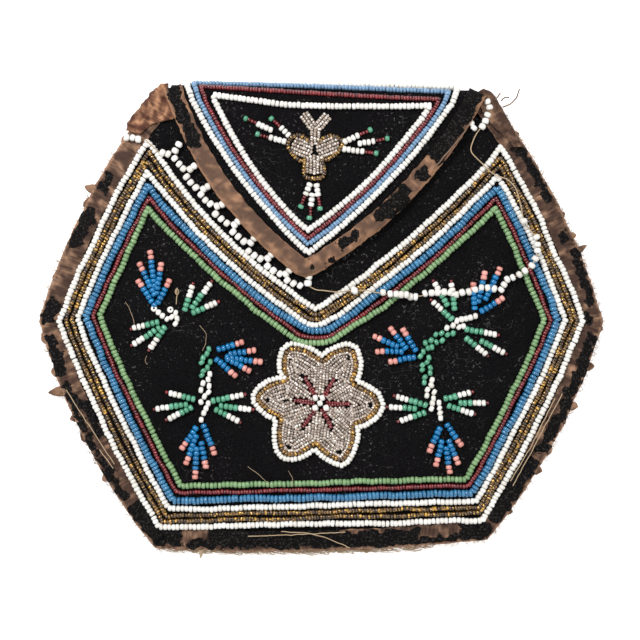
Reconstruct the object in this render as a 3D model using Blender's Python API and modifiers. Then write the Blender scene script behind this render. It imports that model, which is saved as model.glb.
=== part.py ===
"""A beaded velvet bag, lying on its back with its flap closed.

Sizes are in millimetres, and the meshes are written in metres. The mouth points
along +Y, the front faces +Z, and the back rests on z = 0. The bag is two layered
panels bound together by a silk ribbon, with a flap that folds over the mouth.
"""
import math

import bmesh
import bpy
from mathutils import Matrix, Vector

MM = 0.001
GAP = 0.3                    # clearance between neighbouring pieces
ROW_GAP = 0.3                # clearance between neighbouring bead rows
CELL = 17.0                  # facet size of the cloth panels
STEP = 14.0                  # longest straight stretch in a bead row

# Outline of the bag: a six-sided shape with bowed sides
MOUTH_WIDTH = 96.9
WAIST_WIDTH = 170.0
BASE_WIDTH = 100.2
WAIST_LEVEL = -1.4           # the waist's corners lie just below the middle
RISE = 70.3                  # waist to fold
DROP = 67.1                  # waist to base
MOUTH_SLANT = -1.8           # the right end of the fold against the left
BASE_SLANT = 2.5
MOUTH_SHIFT = 1.0            # middle of the fold, to the right of the waist's middle
SIDE_BOW = 4.0
BASE_BOW = 2.0

# Cloth, card and ribbon
VELVET = 0.7
INTERLINING = 0.3
LINING = 0.25
RIBBON = 0.3
RIBBON_WIDTH = 4.4           # on the bag's edge, each side
FLAP_RIBBON_WIDTH = 4.2
MOUTH_RIBBON_WIDTH = 4.0
MOUTH_END = 17.5             # the mouth's ribbon ends this far inside the panel's corners
END_SLANT = 0.62             # the edge ribbon's ends are cut back below the flap
RIBBON_EASE = 0.25           # slack of a ribbon over the cloth's curve
RIBBON_TRIM = 1.5            # the flap ribbon stops short of the fold
RIBBON_ROUND = 0.7           # rounding where a ribbon turns over an edge

# The soft swell of the closed bag
BELLY = 5.5
BELLY_REACH = 45.0
MOUTH_DIP = 0.05
RIM_FLAT = 8.0               # width of the rim that stands on the ribbon
RIM_FADE = 12.0

# Mouth and flap
MOUTH_DROP = 7.6             # fold to the front panel's top edge
SEAM_DROP = 6.6              # fold to the seam on the back
FOLD_ROOM = 6.0
FLAP_LENGTH = 57.2           # fold to the flap's point
FLAP_POINT_SHIFT = -4.5
FLAP_BOW = 5.0
FLAP_TIP = 3.0               # half width of the blunt point
FLAP_START = 1.2             # the flap's side edge starts inside the bag's corner
SEAM_TUCK = 3.6              # and runs this much further in on the back
FOLD_STEPS = 6

# Bead rows of the front, from the outside in: name, bead diameter, colour name
SHOULDER_OUT = 4.6           # outer row's top corners, outside the fold's ends
SHOULDER_DROP = 17.2
WAIST_INSET = 6.3
BASE_INSET = 6.2
BASE_TUCK = 1.5
VALLEY_DROP = 9.6            # flap point to the outer row's valley
VALLEY_SHIFT = 3.0
ROW_BOW = 1.4
VALLEY_BOW_LEFT = 3.8
VALLEY_BOW_RIGHT = 2.6
BASE_SPREAD = 1.1            # rows lie further apart along the base
FRONT_ROWS = (
    ("front_row_outer_white", 1.9, "white"),
    ("front_row_gold_outer", 1.2, "gold"),
    ("front_row_gold_inner", 1.2, "gold"),
    ("front_row_inner_white", 1.9, "white"),
    ("front_row_blue", 2.0, "blue"),
    ("front_row_red", 1.3, "red"),
    ("front_row_green", 1.8, "green"),
)

# Bead rows of the flap: name, bead diameter, colour, turn of the top leg round the
# fold as a share of the half turn, distance in from the fold's ends, and the point's
# height above the flap's own point
FLAP_ROW_SHIFT = 0.6
FLAP_ROW_BOW = 3.4
FLAP_ROWS = (
    ("flap_row_outer_white", 1.9, "white", 0.62, 7.85, 7.4),
    ("flap_row_sky_blue", 1.5, "sky", 0.44, 10.35, 10.3),
    ("flap_row_red", 1.3, "red", 0.28, 12.45, 12.6),
    ("flap_row_inner_white", 1.9, "white", 0.1, 15.55, 15.2),
)

# The motifs are drawn in units of the room that they stand in. A unit is the given
# share of that room, which makes it one millimetre on the real bag. On the front,
# places are measured from the middle of the rows' base, and on the flap from the
# middle of the fold, downwards.
WAIST_UNIT = 1 / 66.55       # of half the width between the side rows
CORNER_UNIT = 1 / 101.535    # of the height from the base to the rows' top corners
DIP_UNIT = 1 / 38.885        # of the height from the base to the rows' dip
FLAP_UNIT = 1 / 57.2         # of the flap's length
FOLD_UNIT = 1 / 48.45        # of half the fold

# Bead fans: fingers of beads that leave a short spine. Each finger is given by
# how far along the spine it starts, its turn from the spine, and its length.
BEAD = 2.0
SPINE = 1.0
FEATHER = ((1.0, 33.0, 8.0), (3.6, 20.0, 9.3), (6.0, 0.0, 9.6), (3.6, -20.0, 8.6), (1.0, -33.0, 7.8))
FEATHER_FOUR = ((2.0, 28.0, 7.6), (3.8, 13.0, 9.0), (4.6, -2.0, 10.4), (2.6, -33.0, 7.4))
LEAF = ((1.6, 24.0, 8.6), (3.4, 0.0, 8.9), (1.8, -24.0, 8.8))
FINGER_STEP = 0.02           # each finger of a fan is this share slimmer
SHORT_LEAF = ((1.4, 24.0, 6.0), (2.6, 0.0, 6.2), (1.4, -24.0, 6.0))
# name: place of the root, aim in degrees, fingers, colour
FRONT_FANS = {
    "left_top_blue_fan": ((-49.6, 52.33), 92.0, FEATHER, "blue"),
    "left_top_leaf_fan": ((-41.5, 49.53), 50.0, LEAF, "green"),
    "left_top_lower_leaf_fan": ((-46.9, 47.13), 214.0, LEAF, "green"),
    "left_side_blue_fan": ((-32.2, 37.93), -13.5, FEATHER, "blue"),
    "left_outer_leaf_fan": ((-36.8, 23.13), 188.0, LEAF, "green"),
    "left_inner_leaf_fan": ((-33.4, 22.63), -8.0, LEAF, "green"),
    "left_low_blue_fan": ((-36.2, 16.33), 267.0, FEATHER, "blue"),
    "right_top_leaf_fan": ((39.6, 48.33), 118.0, LEAF, "green"),
    "right_top_blue_fan": ((45.4, 49.73), 66.0, FEATHER_FOUR, "blue"),
    "right_lower_leaf_fan": ((43.2, 44.13), -27.0, LEAF, "green"),
    "right_side_blue_fan": ((29.3, 37.33), 157.0, FEATHER, "blue"),
    "right_inner_leaf_fan": ((32.6, 21.63), 179.0, LEAF, "green"),
    "right_outer_leaf_fan": ((36.4, 23.03), -3.0, LEAF, "green"),
    "right_low_blue_fan": ((36.6, 17.93), 276.0, FEATHER, "blue"),
}
FLAP_FANS = {
    "flap_left_fan": ((-11.9, 15.5), 153.0, LEAF, "red"),
    "flap_right_fan": ((6.6, 17.5), 9.0, LEAF, "red"),
    "flap_low_fan": ((-3.2, 29.3), 265.0, SHORT_LEAF, "red"),
}

# Stems of the sprays, as zigzags of beads
STEM_BEAD = 1.8
STEMS = {
    "left_branch": (((-50.0, 51.23), (-44.6, 48.53), (-43.6, 46.93)), "white"),
    "left_green_stem": (((-33.6, 39.33), (-35.4, 35.53), (-34.0, 33.53), (-35.4, 31.73)), "green"),
    "left_white_stem": (((-33.8, 29.73), (-35.0, 27.33), (-33.8, 24.73), (-35.6, 20.73)), "white"),
    "right_branch": (((46.0, 48.93), (40.9, 47.73), (40.6, 45.73), (34.4, 43.33)), "white"),
    "right_green_stem": (((36.2, 41.73), (31.4, 41.13), (30.0, 37.03), (31.6, 33.73), (31.1, 30.93)), "green"),
    "right_white_stem": (((33.2, 29.33), (32.0, 26.93), (33.6, 24.33), (34.2, 19.33)), "white"),
}

# Star flower on the front
STAR_CENTRE = (-0.4, 22.5)
STAR_PETALS = 6
STAR_REACH = 18.9            # centre to the petals' tips
STAR_VALLEY = 13.2           # centre to the notches between petals
STAR_TURN = 0.0
STAR_TIP_WIDTH = 3.2         # half width of a petal's round tip
STAR_OUTLINE_BEAD = 1.7
STAR_GOLD_BEAD = 1.1
CRYSTAL = 0.9
VEIN_REACH = 7.8
VEIN_BEAD = 1.1
VEIN_STEP = 0.04             # each vein that crosses is this share slimmer
HEART_BEAD = 2.0
HEART_RADIUS = 1.7
HEART_TWIST = 0.7
HEART_AIMS = (60.0, 130.0, 230.0, 318.0)

# Sprig and petals on the flap
FLAP_MOTIF = (-3.0, 20.3)
FLAP_PETAL_AIMS = (148.0, 26.0, -90.0)
FLAP_PETAL_ROOT = 2.2         # motif's middle to the petals' inner ends
FLAP_PETAL_LENGTH = 5.6
FLAP_PETAL_WIDTH = 5.6
SPRIG_RISE = 8.0                # motif's middle to the sprig's fork
SPRIG_ARMS = ((270.0, 3.2), (122.0, 4.6), (52.0, 4.6))

# Bead lace on the flap's left edge
LACE_BEAD = 1.7
LACE_TOOTH_BEAD = 1.8
LACE_TEETH = 8
LACE_TOOTH = 2.7
LACE_START = 0.16            # share of the outer row's left valley side
LACE_END = 0.93

# The lace's loose end: a bead string that lies across the front
STRAND = 1.6
STRAND_ROUTE = (
    (-2.6, 7.6), (5.0, 7.3), (10.5, 7.8), (16.2, 7.2), (23.1, 6.8), (29.7, 6.2), (37.8, 7.5),
    (45.6, 7.9), (51.6, 8.5), (55.0, 9.5), (58.2, 11.8), (63.1, 15.1), (65.0, 19.3), (64.3, 23.7),
    (60.8, 28.3), (60.0, 32.2), (58.5, 37.9), (53.4, 41.9), (47.9, 46.0), (46.2, 50.0),
    (48.2, 54.6), (50.2, 58.8), (50.6, 62.4),
)

COLOURS = {
    "velvet": (0.007, 0.006, 0.007, 0.95),
    "card": (0.30, 0.24, 0.17, 0.9),
    "lining": (0.36, 0.25, 0.16, 0.85),
    "ribbon": (0.14, 0.085, 0.055, 0.6),
    "white": (0.88, 0.86, 0.80, 0.25),
    "gold": (0.22, 0.12, 0.03, 0.2),
    "blue": (0.03, 0.20, 0.38, 0.2),
    "sky": (0.20, 0.38, 0.58, 0.25),
    "red": (0.16, 0.02, 0.02, 0.2),
    "green": (0.12, 0.32, 0.16, 0.25),
    "crystal": (0.42, 0.38, 0.34, 0.12),
}


# Plan geometry

def lerp(a, b, t):
    return (a[0] + (b[0] - a[0]) * t, a[1] + (b[1] - a[1]) * t)


def bowed(a, b, bow, step=STEP, count=None):
    """Points from a to just before b, on a shallow arc that leans to the left of a-b."""
    length = math.dist(a, b)
    side = ((a[1] - b[1]) / length, (b[0] - a[0]) / length)
    if count is None:
        count = max(1, math.ceil(length / step))
    points = []
    for i in range(count):
        t = i / count
        x, y = lerp(a, b, t)
        out = bow * 4.0 * t * (1.0 - t)
        points.append((x + side[0] * out, y + side[1] * out))
    return points


def inset(points, distance, closed=True):
    """The points moved to the right of their direction of travel, with mitred corners."""
    moved = []
    last = len(points) - 1
    for i, point in enumerate(points):
        before = points[i - 1] if closed or i > 0 else None
        after = points[(i + 1) % len(points)] if closed or i < last else None
        normals = []
        for a, b in ((before, point), (point, after)):
            if a is not None and b is not None:
                length = math.dist(a, b)
                normals.append(((b[1] - a[1]) / length, (a[0] - b[0]) / length))
        nx = sum(n[0] for n in normals) / len(normals)
        ny = sum(n[1] for n in normals) / len(normals)
        scale = distance / (nx * nx + ny * ny)
        moved.append((point[0] + nx * scale, point[1] + ny * scale))
    return moved


def heading(side, at_end):
    """Direction of travel at one end of a bowed side."""
    a, b, bow = side
    lean = math.atan(4.0 * bow / math.dist(a, b))
    return math.atan2(b[1] - a[1], b[0] - a[0]) + (-lean if at_end else lean)


def meeting(corner, heading1, distance1, heading2, distance2):
    """Where two lines through a corner meet once each is moved to its left."""
    x1, y1 = corner[0] - math.sin(heading1) * distance1, corner[1] + math.cos(heading1) * distance1
    x2, y2 = corner[0] - math.sin(heading2) * distance2, corner[1] + math.cos(heading2) * distance2
    ux1, uy1 = math.cos(heading1), math.sin(heading1)
    ux2, uy2 = math.cos(heading2), math.sin(heading2)
    t = ((x2 - x1) * uy2 - (y2 - y1) * ux2) / (ux1 * uy2 - uy1 * ux2)
    return (x1 + ux1 * t, y1 + uy1 * t)


def left_of(corner, direction, distance):
    return (corner[0] - math.sin(direction) * distance, corner[1] + math.cos(direction) * distance)


def parallel_sides(sides, distances):
    """Bowed sides moved inwards, each by its own distance. They meet in new corners,
    apart from a corner that points inwards, where they end side by side."""
    joints = []
    for i, side in enumerate(sides):
        arrive, leave = heading(sides[i - 1], True), heading(side, False)
        if math.sin(leave - arrive) > 0.0:
            corner = meeting(side[0], arrive, distances[i - 1], leave, distances[i])
            joints.append((corner, corner))
        else:
            joints.append((left_of(side[0], arrive, distances[i - 1]), left_of(side[0], leave, distances[i])))
    moved = []
    for i, (a, b, bow) in enumerate(sides):
        c, d = joints[i][1], joints[(i + 1) % len(sides)][0]
        turn = math.atan2(b[1] - a[1], b[0] - a[0])
        top = left_of(lerp(a, b, 0.5), turn, bow + distances[i])
        new_turn = math.atan2(d[1] - c[1], d[0] - c[0])
        new_bow = (top[1] - c[1]) * math.cos(new_turn) - (top[0] - c[0]) * math.sin(new_turn)
        moved.append((c, d, new_bow))
    return moved


def resample(points, step):
    """An open chain with no stretch longer than the step."""
    chain = []
    for a, b in zip(points, points[1:]):
        count = max(1, math.ceil(math.dist(a, b) / step))
        chain += [lerp(a, b, i / count) for i in range(count)]
    return chain + [points[-1]]


def polar(centre, angle, radius):
    turn = math.radians(angle)
    return (centre[0] + radius * math.cos(turn), centre[1] + radius * math.sin(turn))


# Corners of the bag, anticlockwise from the left end of the fold
FOLD_LEFT = (MOUTH_SHIFT - MOUTH_WIDTH / 2, WAIST_LEVEL + RISE - MOUTH_SLANT / 2)
FOLD_RIGHT = (MOUTH_SHIFT + MOUTH_WIDTH / 2, WAIST_LEVEL + RISE + MOUTH_SLANT / 2)
WAIST_LEFT = (-WAIST_WIDTH / 2, WAIST_LEVEL)
WAIST_RIGHT = (WAIST_WIDTH / 2, WAIST_LEVEL)
BASE_LEFT = (-BASE_WIDTH / 2, WAIST_LEVEL - DROP - BASE_SLANT / 2)
BASE_RIGHT = (BASE_WIDTH / 2, WAIST_LEVEL - DROP + BASE_SLANT / 2)
BOUND_SIDES = (
    (FOLD_LEFT, WAIST_LEFT, SIDE_BOW),
    (WAIST_LEFT, BASE_LEFT, SIDE_BOW),
    (BASE_LEFT, BASE_RIGHT, BASE_BOW),
    (BASE_RIGHT, WAIST_RIGHT, SIDE_BOW),
    (WAIST_RIGHT, FOLD_RIGHT, SIDE_BOW),
)


def fold_line(x):
    """Height along +Y of the fold at a place across the bag."""
    slope = (FOLD_RIGHT[1] - FOLD_LEFT[1]) / (FOLD_RIGHT[0] - FOLD_LEFT[0])
    return FOLD_LEFT[1] + (x - FOLD_LEFT[0]) * slope


def side_distance(side, x, y):
    """How far a place lies inside one bowed side."""
    a, b, bow = side
    length = math.dist(a, b)
    ux, uy = (b[0] - a[0]) / length, (b[1] - a[1]) / length
    t = min(max(((x - a[0]) * ux + (y - a[1]) * uy) / length, 0.0), 1.0)
    return (y - a[1]) * ux - (x - a[0]) * uy + bow * 4.0 * t * (1.0 - t)


def belly(x, y):
    """Swell of the front over the back, nothing at the bound sides."""
    share = 1.0
    for side in BOUND_SIDES:
        near = min(max(side_distance(side, x, y) / BELLY_REACH, 0.0), 1.0)
        share *= 1.0 - (1.0 - near) ** 2
    near = min(max((fold_line(x) - y) / BELLY_REACH, 0.0), 1.0)
    return BELLY * share * (1.0 - MOUTH_DIP * (1.0 - near) ** 2)


def rim_lift(x, y):
    """The panels' rim lies on the ribbon, and their middle on the table."""
    flat = 1.0
    for side in BOUND_SIDES:
        t = min(max((side_distance(side, x, y) - RIM_FLAT) / RIM_FADE, 0.0), 1.0)
        flat *= t * t * (3.0 - 2.0 * t)
    return (RIBBON + GAP) * (1.0 - flat)


# Heights of the layers' upper faces above the table, at the closed rim
BACK_VELVET_TOP = VELVET
BACK_INTERLINING_TOP = BACK_VELVET_TOP + GAP + INTERLINING
BACK_LINING_TOP = BACK_INTERLINING_TOP + GAP + LINING
FRONT_LINING_TOP = BACK_LINING_TOP + GAP + LINING
FRONT_INTERLINING_TOP = FRONT_LINING_TOP + GAP + INTERLINING
FRONT_TOP = FRONT_INTERLINING_TOP + GAP + VELVET
FLAP_LINING_TOP = FRONT_TOP + GAP + RIBBON + GAP + LINING
FLAP_INTERLINING_TOP = FLAP_LINING_TOP + GAP + INTERLINING
FLAP_TOP = FLAP_INTERLINING_TOP + GAP + VELVET


def back_height(level):
    return lambda x, y: level + rim_lift(x, y)


def front_height(level):
    return lambda x, y: level + rim_lift(x, y) + belly(x, y)


front_surface = front_height(FRONT_TOP)


def flap_height(level):
    """A layer of the flap, level from the fold's room up to the fold itself."""
    inner = front_height(level)
    return lambda x, y: inner(x, min(y, fold_line(x) - FOLD_ROOM))


flap_surface = flap_height(FLAP_TOP)


def fold_radius(x):
    return flap_surface(x, fold_line(x)) / 2


def fold_start(x):
    return fold_line(x) - fold_radius(x)


def flap_point(x, v, lift=0.0):
    """A place on the flap's velvet: v below 0 is millimetres down the flap from the
    fold's start, 0 to 1 is the half turn round the fold, and 1 to 2 the run along
    the back to the seam."""
    radius = fold_radius(x)
    start = fold_start(x)
    if v <= 0.0:
        return (x, start + v, flap_surface(x, start + v) + lift)
    if v <= 1.0:
        turn = math.pi * v
        y = start + (radius + lift) * math.sin(turn)
        return (x, y, radius + (radius + lift) * math.cos(turn))
    seam = fold_line(x) - SEAM_DROP
    return (x, start + (seam - start) * (v - 1.0), -lift)


# Meshes and materials

for old in list(bpy.data.objects):
    bpy.data.objects.remove(old)
parts = bpy.data.collections.new("beaded_bag")
whole = bpy.data.objects.new("bag_frame", None)


def material(name):
    made = bpy.data.materials.get(name)
    if made is None:
        red, green, blue, rough = COLOURS[name]
        made = bpy.data.materials.new(name)
        made.use_nodes = True
        shader = made.node_tree.nodes["Principled BSDF"]
        shader.inputs["Base Color"].default_value = (red, green, blue, 1.0)
        shader.inputs["Roughness"].default_value = rough
        shader.inputs["Metallic"].default_value = 0.0
    return made


def place(obj, colour):
    """Every piece gets a material of its own and hangs on the bag's frame."""
    own = material(colour).copy()
    own.name = obj.name + "_" + colour
    obj.data.materials.clear()
    obj.data.materials.append(own)
    parts.objects.link(obj)
    obj.parent = whole
    return obj


def to_object(name, bm):
    bmesh.ops.scale(bm, vec=(MM, MM, MM), verts=bm.verts)
    mesh = bpy.data.meshes.new(name)
    bm.to_mesh(mesh)
    bm.free()
    mesh.shade_smooth()
    mesh.set_sharp_from_angle(angle=math.radians(40.0))
    return bpy.data.objects.new(name, mesh)


def solidify(obj, thickness, even=False):
    wall = obj.modifiers.new("thickness", "SOLIDIFY")
    wall.thickness = thickness * MM
    wall.offset = -1.0
    wall.use_even_offset = even


def cut_on_grid(bm, cell, low, high, axis):
    """Cuts across one axis at whole cells counted from zero."""
    for k in range(math.ceil(low / cell), math.floor(high / cell) + 1):
        co, normal = [0.0, 0.0, 0.0], [0.0, 0.0, 0.0]
        co[axis], normal[axis] = k * cell, 1.0
        geometry = bm.verts[:] + bm.edges[:] + bm.faces[:]
        bmesh.ops.bisect_plane(bm, geom=geometry, dist=0.01, plane_co=co, plane_no=normal)


def flat_face(bm, loops):
    edges = []
    for loop in loops:
        verts = [bm.verts.new((x, y, 0.0)) for x, y in loop]
        edges += [bm.edges.new((verts[i - 1], verts[i])) for i in range(len(verts))]
    if len(loops) == 1:
        bm.faces.new(bm.verts[:])
    else:
        bmesh.ops.triangle_fill(bm, use_beauty=True, edges=edges)
    for face in bm.faces:
        face.normal_update()
        if face.normal.z < 0.0:
            face.normal_flip()


def cloth(name, loops, height, thickness, colour, cell=CELL):
    """A layer cut to a flat outline and laid over a height, given by its upper face."""
    bm = bmesh.new()
    flat_face(bm, loops)
    reach = WAIST_WIDTH + RISE
    cut_on_grid(bm, cell, -reach, reach, 0)
    cut_on_grid(bm, cell, -reach, reach, 1)
    bmesh.ops.triangulate(bm, faces=bm.faces[:], quad_method="FIXED")
    for vert in bm.verts:
        vert.co.z = height(vert.co.x, vert.co.y)
    obj = place(to_object(name, bm), colour)
    solidify(obj, thickness)
    return obj


def curve_object(name, chains, radius, closed, sides=1):
    """A tube round each chain of (x, y, z, share of the radius)."""
    data = bpy.data.curves.new(name, "CURVE")
    data.dimensions = "3D"
    data.bevel_depth = radius * MM
    data.bevel_resolution = sides
    data.use_fill_caps = not closed
    for chain in chains:
        spline = data.splines.new("POLY")
        spline.points.add(len(chain) - 1)
        for point, (x, y, z, share) in zip(spline.points, chain):
            point.co = (x * MM, y * MM, z * MM, 1.0)
            point.radius = share
        spline.use_cyclic_u = closed
        spline.use_smooth = True
    return bpy.data.objects.new(name, data)


def laid(points, radius, height, share=1.0):
    """Points in plan laid on a surface, at the tube's own radius above it."""
    return [(x, y, height(x, y) + GAP + radius * share, share) for x, y in points]


def bead_row(name, points, bead, colour, height, closed=True, sides=1):
    chain = laid(points, bead / 2, height)
    return place(curve_object(name, [chain], bead / 2, closed, sides), colour)


def mesh_of(obj):
    """The evaluated mesh of a curve, with its caps welded on."""
    bpy.context.scene.collection.objects.link(obj)
    bpy.context.view_layer.update()
    evaluated = obj.evaluated_get(bpy.context.evaluated_depsgraph_get())
    mesh = bpy.data.meshes.new_from_object(evaluated)
    bpy.data.objects.remove(obj)
    bm = bmesh.new()
    bm.from_mesh(mesh)
    bmesh.ops.remove_doubles(bm, verts=bm.verts[:], dist=0.00001)
    bm.to_mesh(mesh)
    bm.free()
    return mesh


def union(name, chains, radius, colour, sides=1):
    """One body from tubes that share their roots."""
    solids = []
    for i, chain in enumerate(chains):
        tube = curve_object(f"{name}_{i}", [chain], radius, False, sides)
        solids.append(bpy.data.objects.new(f"{name}_{i}", mesh_of(tube)))
    joined(name, solids, colour)


def joined(name, solids, colour):
    """One body from solids that overlap: the first, then all the others."""
    for other in solids:
        bpy.context.scene.collection.objects.link(other)
    base = solids[0]
    for other in solids[1:]:
        join = base.modifiers.new("join", "BOOLEAN")
        join.operation = "UNION"
        join.object = other
    bpy.context.view_layer.update()
    evaluated = base.evaluated_get(bpy.context.evaluated_depsgraph_get())
    mesh = bpy.data.meshes.new_from_object(evaluated)
    mesh.name = name
    mesh.shade_smooth()
    mesh.set_sharp_from_angle(angle=math.radians(60.0))
    for other in solids:
        bpy.data.objects.remove(other)
    return place(bpy.data.objects.new(name, mesh), colour)


def bead_cluster(name, places, bead, colour):
    """Beads that overlap, as one body."""
    solids = []
    for i, (x, y, z) in enumerate(places):
        bm = bmesh.new()
        bmesh.ops.create_uvsphere(bm, u_segments=6, v_segments=4, radius=bead / 2)
        turn = Matrix.Rotation(HEART_TWIST * i, 4, (1.0, 1.0, 1.0))
        bmesh.ops.transform(bm, matrix=Matrix.Translation((x, y, z)) @ turn, verts=bm.verts)
        solids.append(to_object(f"{name}_{i}", bm))
    joined(name, solids, colour)


# Pieces

def bag_path(drop):
    """The bound edge, from the left end of the fold round the base to the right end,
    starting the given length down each side."""
    start = lerp(FOLD_LEFT, WAIST_LEFT, drop / math.dist(FOLD_LEFT, WAIST_LEFT))
    end = lerp(FOLD_RIGHT, WAIST_RIGHT, drop / math.dist(FOLD_RIGHT, WAIST_RIGHT))
    points = []
    for a, b, bow in BOUND_SIDES:
        points += bowed(a, b, -bow)
    points.append(end)
    points[0] = start
    return points


def panel_outline(top_drop):
    """A panel's outline inside the ribbon, cut straight below the fold."""
    edge = inset(bag_path(0.0), -(GAP + RIBBON), closed=False)
    low = [p for p in edge if p[1] < fold_line(p[0]) - top_drop]
    first = crossing(edge, top_drop)
    last = crossing(edge[::-1], top_drop)
    return [first] + low + [last]


def crossing(edge, drop):
    """Where a chain that starts at the fold first passes the line below it."""
    for a, b in zip(edge, edge[1:]):
        above = a[1] - fold_line(a[0]) + drop
        below = b[1] - fold_line(b[0]) + drop
        if above >= 0.0 > below:
            return lerp(a, b, above / (above - below))
    return edge[0]


def ribbon_strip(name, path, width, low, high, slant, thickness=RIBBON):
    """A ribbon folded round an edge: low and high give its two outer faces."""
    profile = ((width, 0), (RIBBON_ROUND, 0), (0.0, 1), (0.0, 2), (RIBBON_ROUND, 3), (width, 3))
    rows = []
    for distance, stage in profile:
        line = inset(path, -distance, closed=False)
        line[0] = shifted(line[0], path[0], path[1], slant * distance)
        line[-1] = shifted(line[-1], path[-1], path[-2], slant * distance)
        row = []
        for x, y in line:
            floor, roof = low(x, y), high(x, y)
            z = (floor, floor + RIBBON_ROUND, roof - RIBBON_ROUND, roof)[stage]
            row.append((x, y, z))
        rows.append(row)
    bm = bmesh.new()
    across, along = len(profile) - 1, len(path) - 1
    bmesh.ops.create_grid(bm, x_segments=across, y_segments=along, size=1.0)
    for vert in bm.verts:
        i = round((vert.co.x + 1.0) / 2.0 * across)
        k = round((vert.co.y + 1.0) / 2.0 * along)
        vert.co = Vector(rows[i][k])
    bm.normal_update()
    lowest = min(bm.faces, key=lambda face: face.calc_center_median().z)
    if lowest.normal.z > 0.0:
        bmesh.ops.reverse_faces(bm, faces=bm.faces[:])
    obj = place(to_object(name, bm), "ribbon")
    solidify(obj, thickness, even=True)
    return obj


def shifted(point, a, b, distance):
    """The point moved along a-b."""
    length = math.dist(a, b)
    return (point[0] + (b[0] - a[0]) / length * distance, point[1] + (b[1] - a[1]) / length * distance)


def build_panels():
    """Front and back, each velvet over an interlining and a lining."""
    front = panel_outline(MOUTH_DROP + GAP + RIBBON)
    back = panel_outline(SEAM_DROP + GAP)
    cloth("back_velvet", [back], back_height(BACK_VELVET_TOP), VELVET, "velvet")
    inner = panel_outline(MOUTH_DROP + GAP)
    cloth("back_interlining", [inner], back_height(BACK_INTERLINING_TOP), INTERLINING, "card")
    cloth("back_lining", [inner], back_height(BACK_LINING_TOP), LINING, "lining")
    cloth("front_lining", [front], front_height(FRONT_LINING_TOP), LINING, "lining")
    cloth("front_interlining", [front], front_height(FRONT_INTERLINING_TOP), INTERLINING, "card")
    cloth("front_velvet", [front], front_surface, VELVET, "velvet")


def build_bindings():
    """Ribbon round the bag's edge, and over the front panel's mouth."""
    edge_top = front_height(FRONT_TOP + GAP + RIBBON_EASE + RIBBON)
    ribbon_strip("edge_binding", bag_path(GAP), RIBBON_WIDTH, lambda x, y: 0.0, edge_top, END_SLANT)
    low = front_height(FRONT_LINING_TOP - LINING - GAP - RIBBON)
    outline = panel_outline(MOUTH_DROP)
    left = shifted(outline[0], outline[0], outline[-1], MOUTH_END)
    right = shifted(outline[-1], outline[-1], outline[0], MOUTH_END)
    path = resample([right, left], CELL)
    mouth_top = front_height(FRONT_TOP + GAP + RIBBON)
    ribbon_strip("mouth_binding", path, MOUTH_RIBBON_WIDTH, low, mouth_top, 0.0)


def flap_sides():
    """The flap's two slanted edges in plan, from the left end of the fold by its
    point to the right end."""
    middle = fold_line(MOUTH_SHIFT)
    tip = middle - FLAP_LENGTH
    left = (FOLD_LEFT[0] + FLAP_START, fold_start(FOLD_LEFT[0] + FLAP_START))
    right = (FOLD_RIGHT[0] - FLAP_START, fold_start(FOLD_RIGHT[0] - FLAP_START))
    tip_left = (FLAP_POINT_SHIFT - FLAP_TIP, tip + FLAP_TIP / 3)
    tip_right = (FLAP_POINT_SHIFT + FLAP_TIP, tip + FLAP_TIP / 3)
    points = bowed(left, tip_left, -FLAP_BOW) + [tip_left, (FLAP_POINT_SHIFT, tip)]
    return points + bowed(tip_right, right, -FLAP_BOW) + [right]


def flap_layer(name, margin, top, thickness, colour):
    """A flat layer inside the flap, which stops before the fold."""
    sides = inset(flap_sides(), -margin, closed=False)
    room = fold_line(MOUTH_SHIFT) - FOLD_ROOM - GAP
    kept = [p for p in sides if p[1] < room - 1.0]
    outline = [crossing_level(sides, room)] + kept + [crossing_level(sides[::-1], room)]
    cloth(name, [outline], flap_height(top), thickness, colour)


def crossing_level(chain, level):
    for a, b in zip(chain, chain[1:]):
        if a[1] >= level > b[1]:
            return lerp(a, b, (a[1] - level) / (a[1] - b[1]))
    return chain[0]


def build_flap():
    """Velvet that runs down the front, round the fold and to a seam on the back."""
    sides = inset(flap_sides(), -(GAP + RIBBON), closed=False)
    outline = [(x, (y - fold_start(x)) / STEP) for x, y in sides]
    left, right = sides[0][0], sides[-1][0]
    outline[0], outline[-1] = (left, 0.0), (right, 0.0)
    tucked = SEAM_TUCK / 2
    back = [(right - tucked, 1.0), (right - 2 * tucked, 2.0), (left + 2 * tucked, 2.0), (left + tucked, 1.0)]
    bm = bmesh.new()
    flat_face(bm, [outline + back])
    cut_on_grid(bm, CELL, left, right, 0)
    cut_on_grid(bm, 1.0, -FLAP_LENGTH / STEP, -1.0, 1)
    for k in range(FOLD_STEPS + 1):
        geometry = bm.verts[:] + bm.edges[:] + bm.faces[:]
        turn = k / FOLD_STEPS
        bmesh.ops.bisect_plane(bm, geom=geometry, dist=0.001, plane_co=(0, turn, 0), plane_no=(0, 1, 0))
    bmesh.ops.triangulate(bm, faces=bm.faces[:], quad_method="FIXED")
    for vert in bm.verts:
        v = vert.co.y if vert.co.y > 0.0 else vert.co.y * STEP
        vert.co = Vector(flap_point(vert.co.x, v))
    solidify(place(to_object("flap_velvet", bm), "velvet"), VELVET)
    flap_layer("flap_interlining", 2 * RIBBON + 2 * GAP, FLAP_INTERLINING_TOP, INTERLINING, "card")
    flap_layer("flap_lining", RIBBON + GAP, FLAP_LINING_TOP, LINING, "lining")
    low = flap_height(FRONT_TOP + GAP)
    high = flap_height(FLAP_TOP + GAP + RIBBON_EASE + RIBBON)
    path = flap_sides()
    path[0] = shifted(path[0], path[0], path[1], RIBBON_TRIM)
    path[-1] = shifted(path[-1], path[-1], path[-2], RIBBON_TRIM)
    ribbon_strip("flap_binding", path, FLAP_RIBBON_WIDTH, low, high, 0.0)


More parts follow.
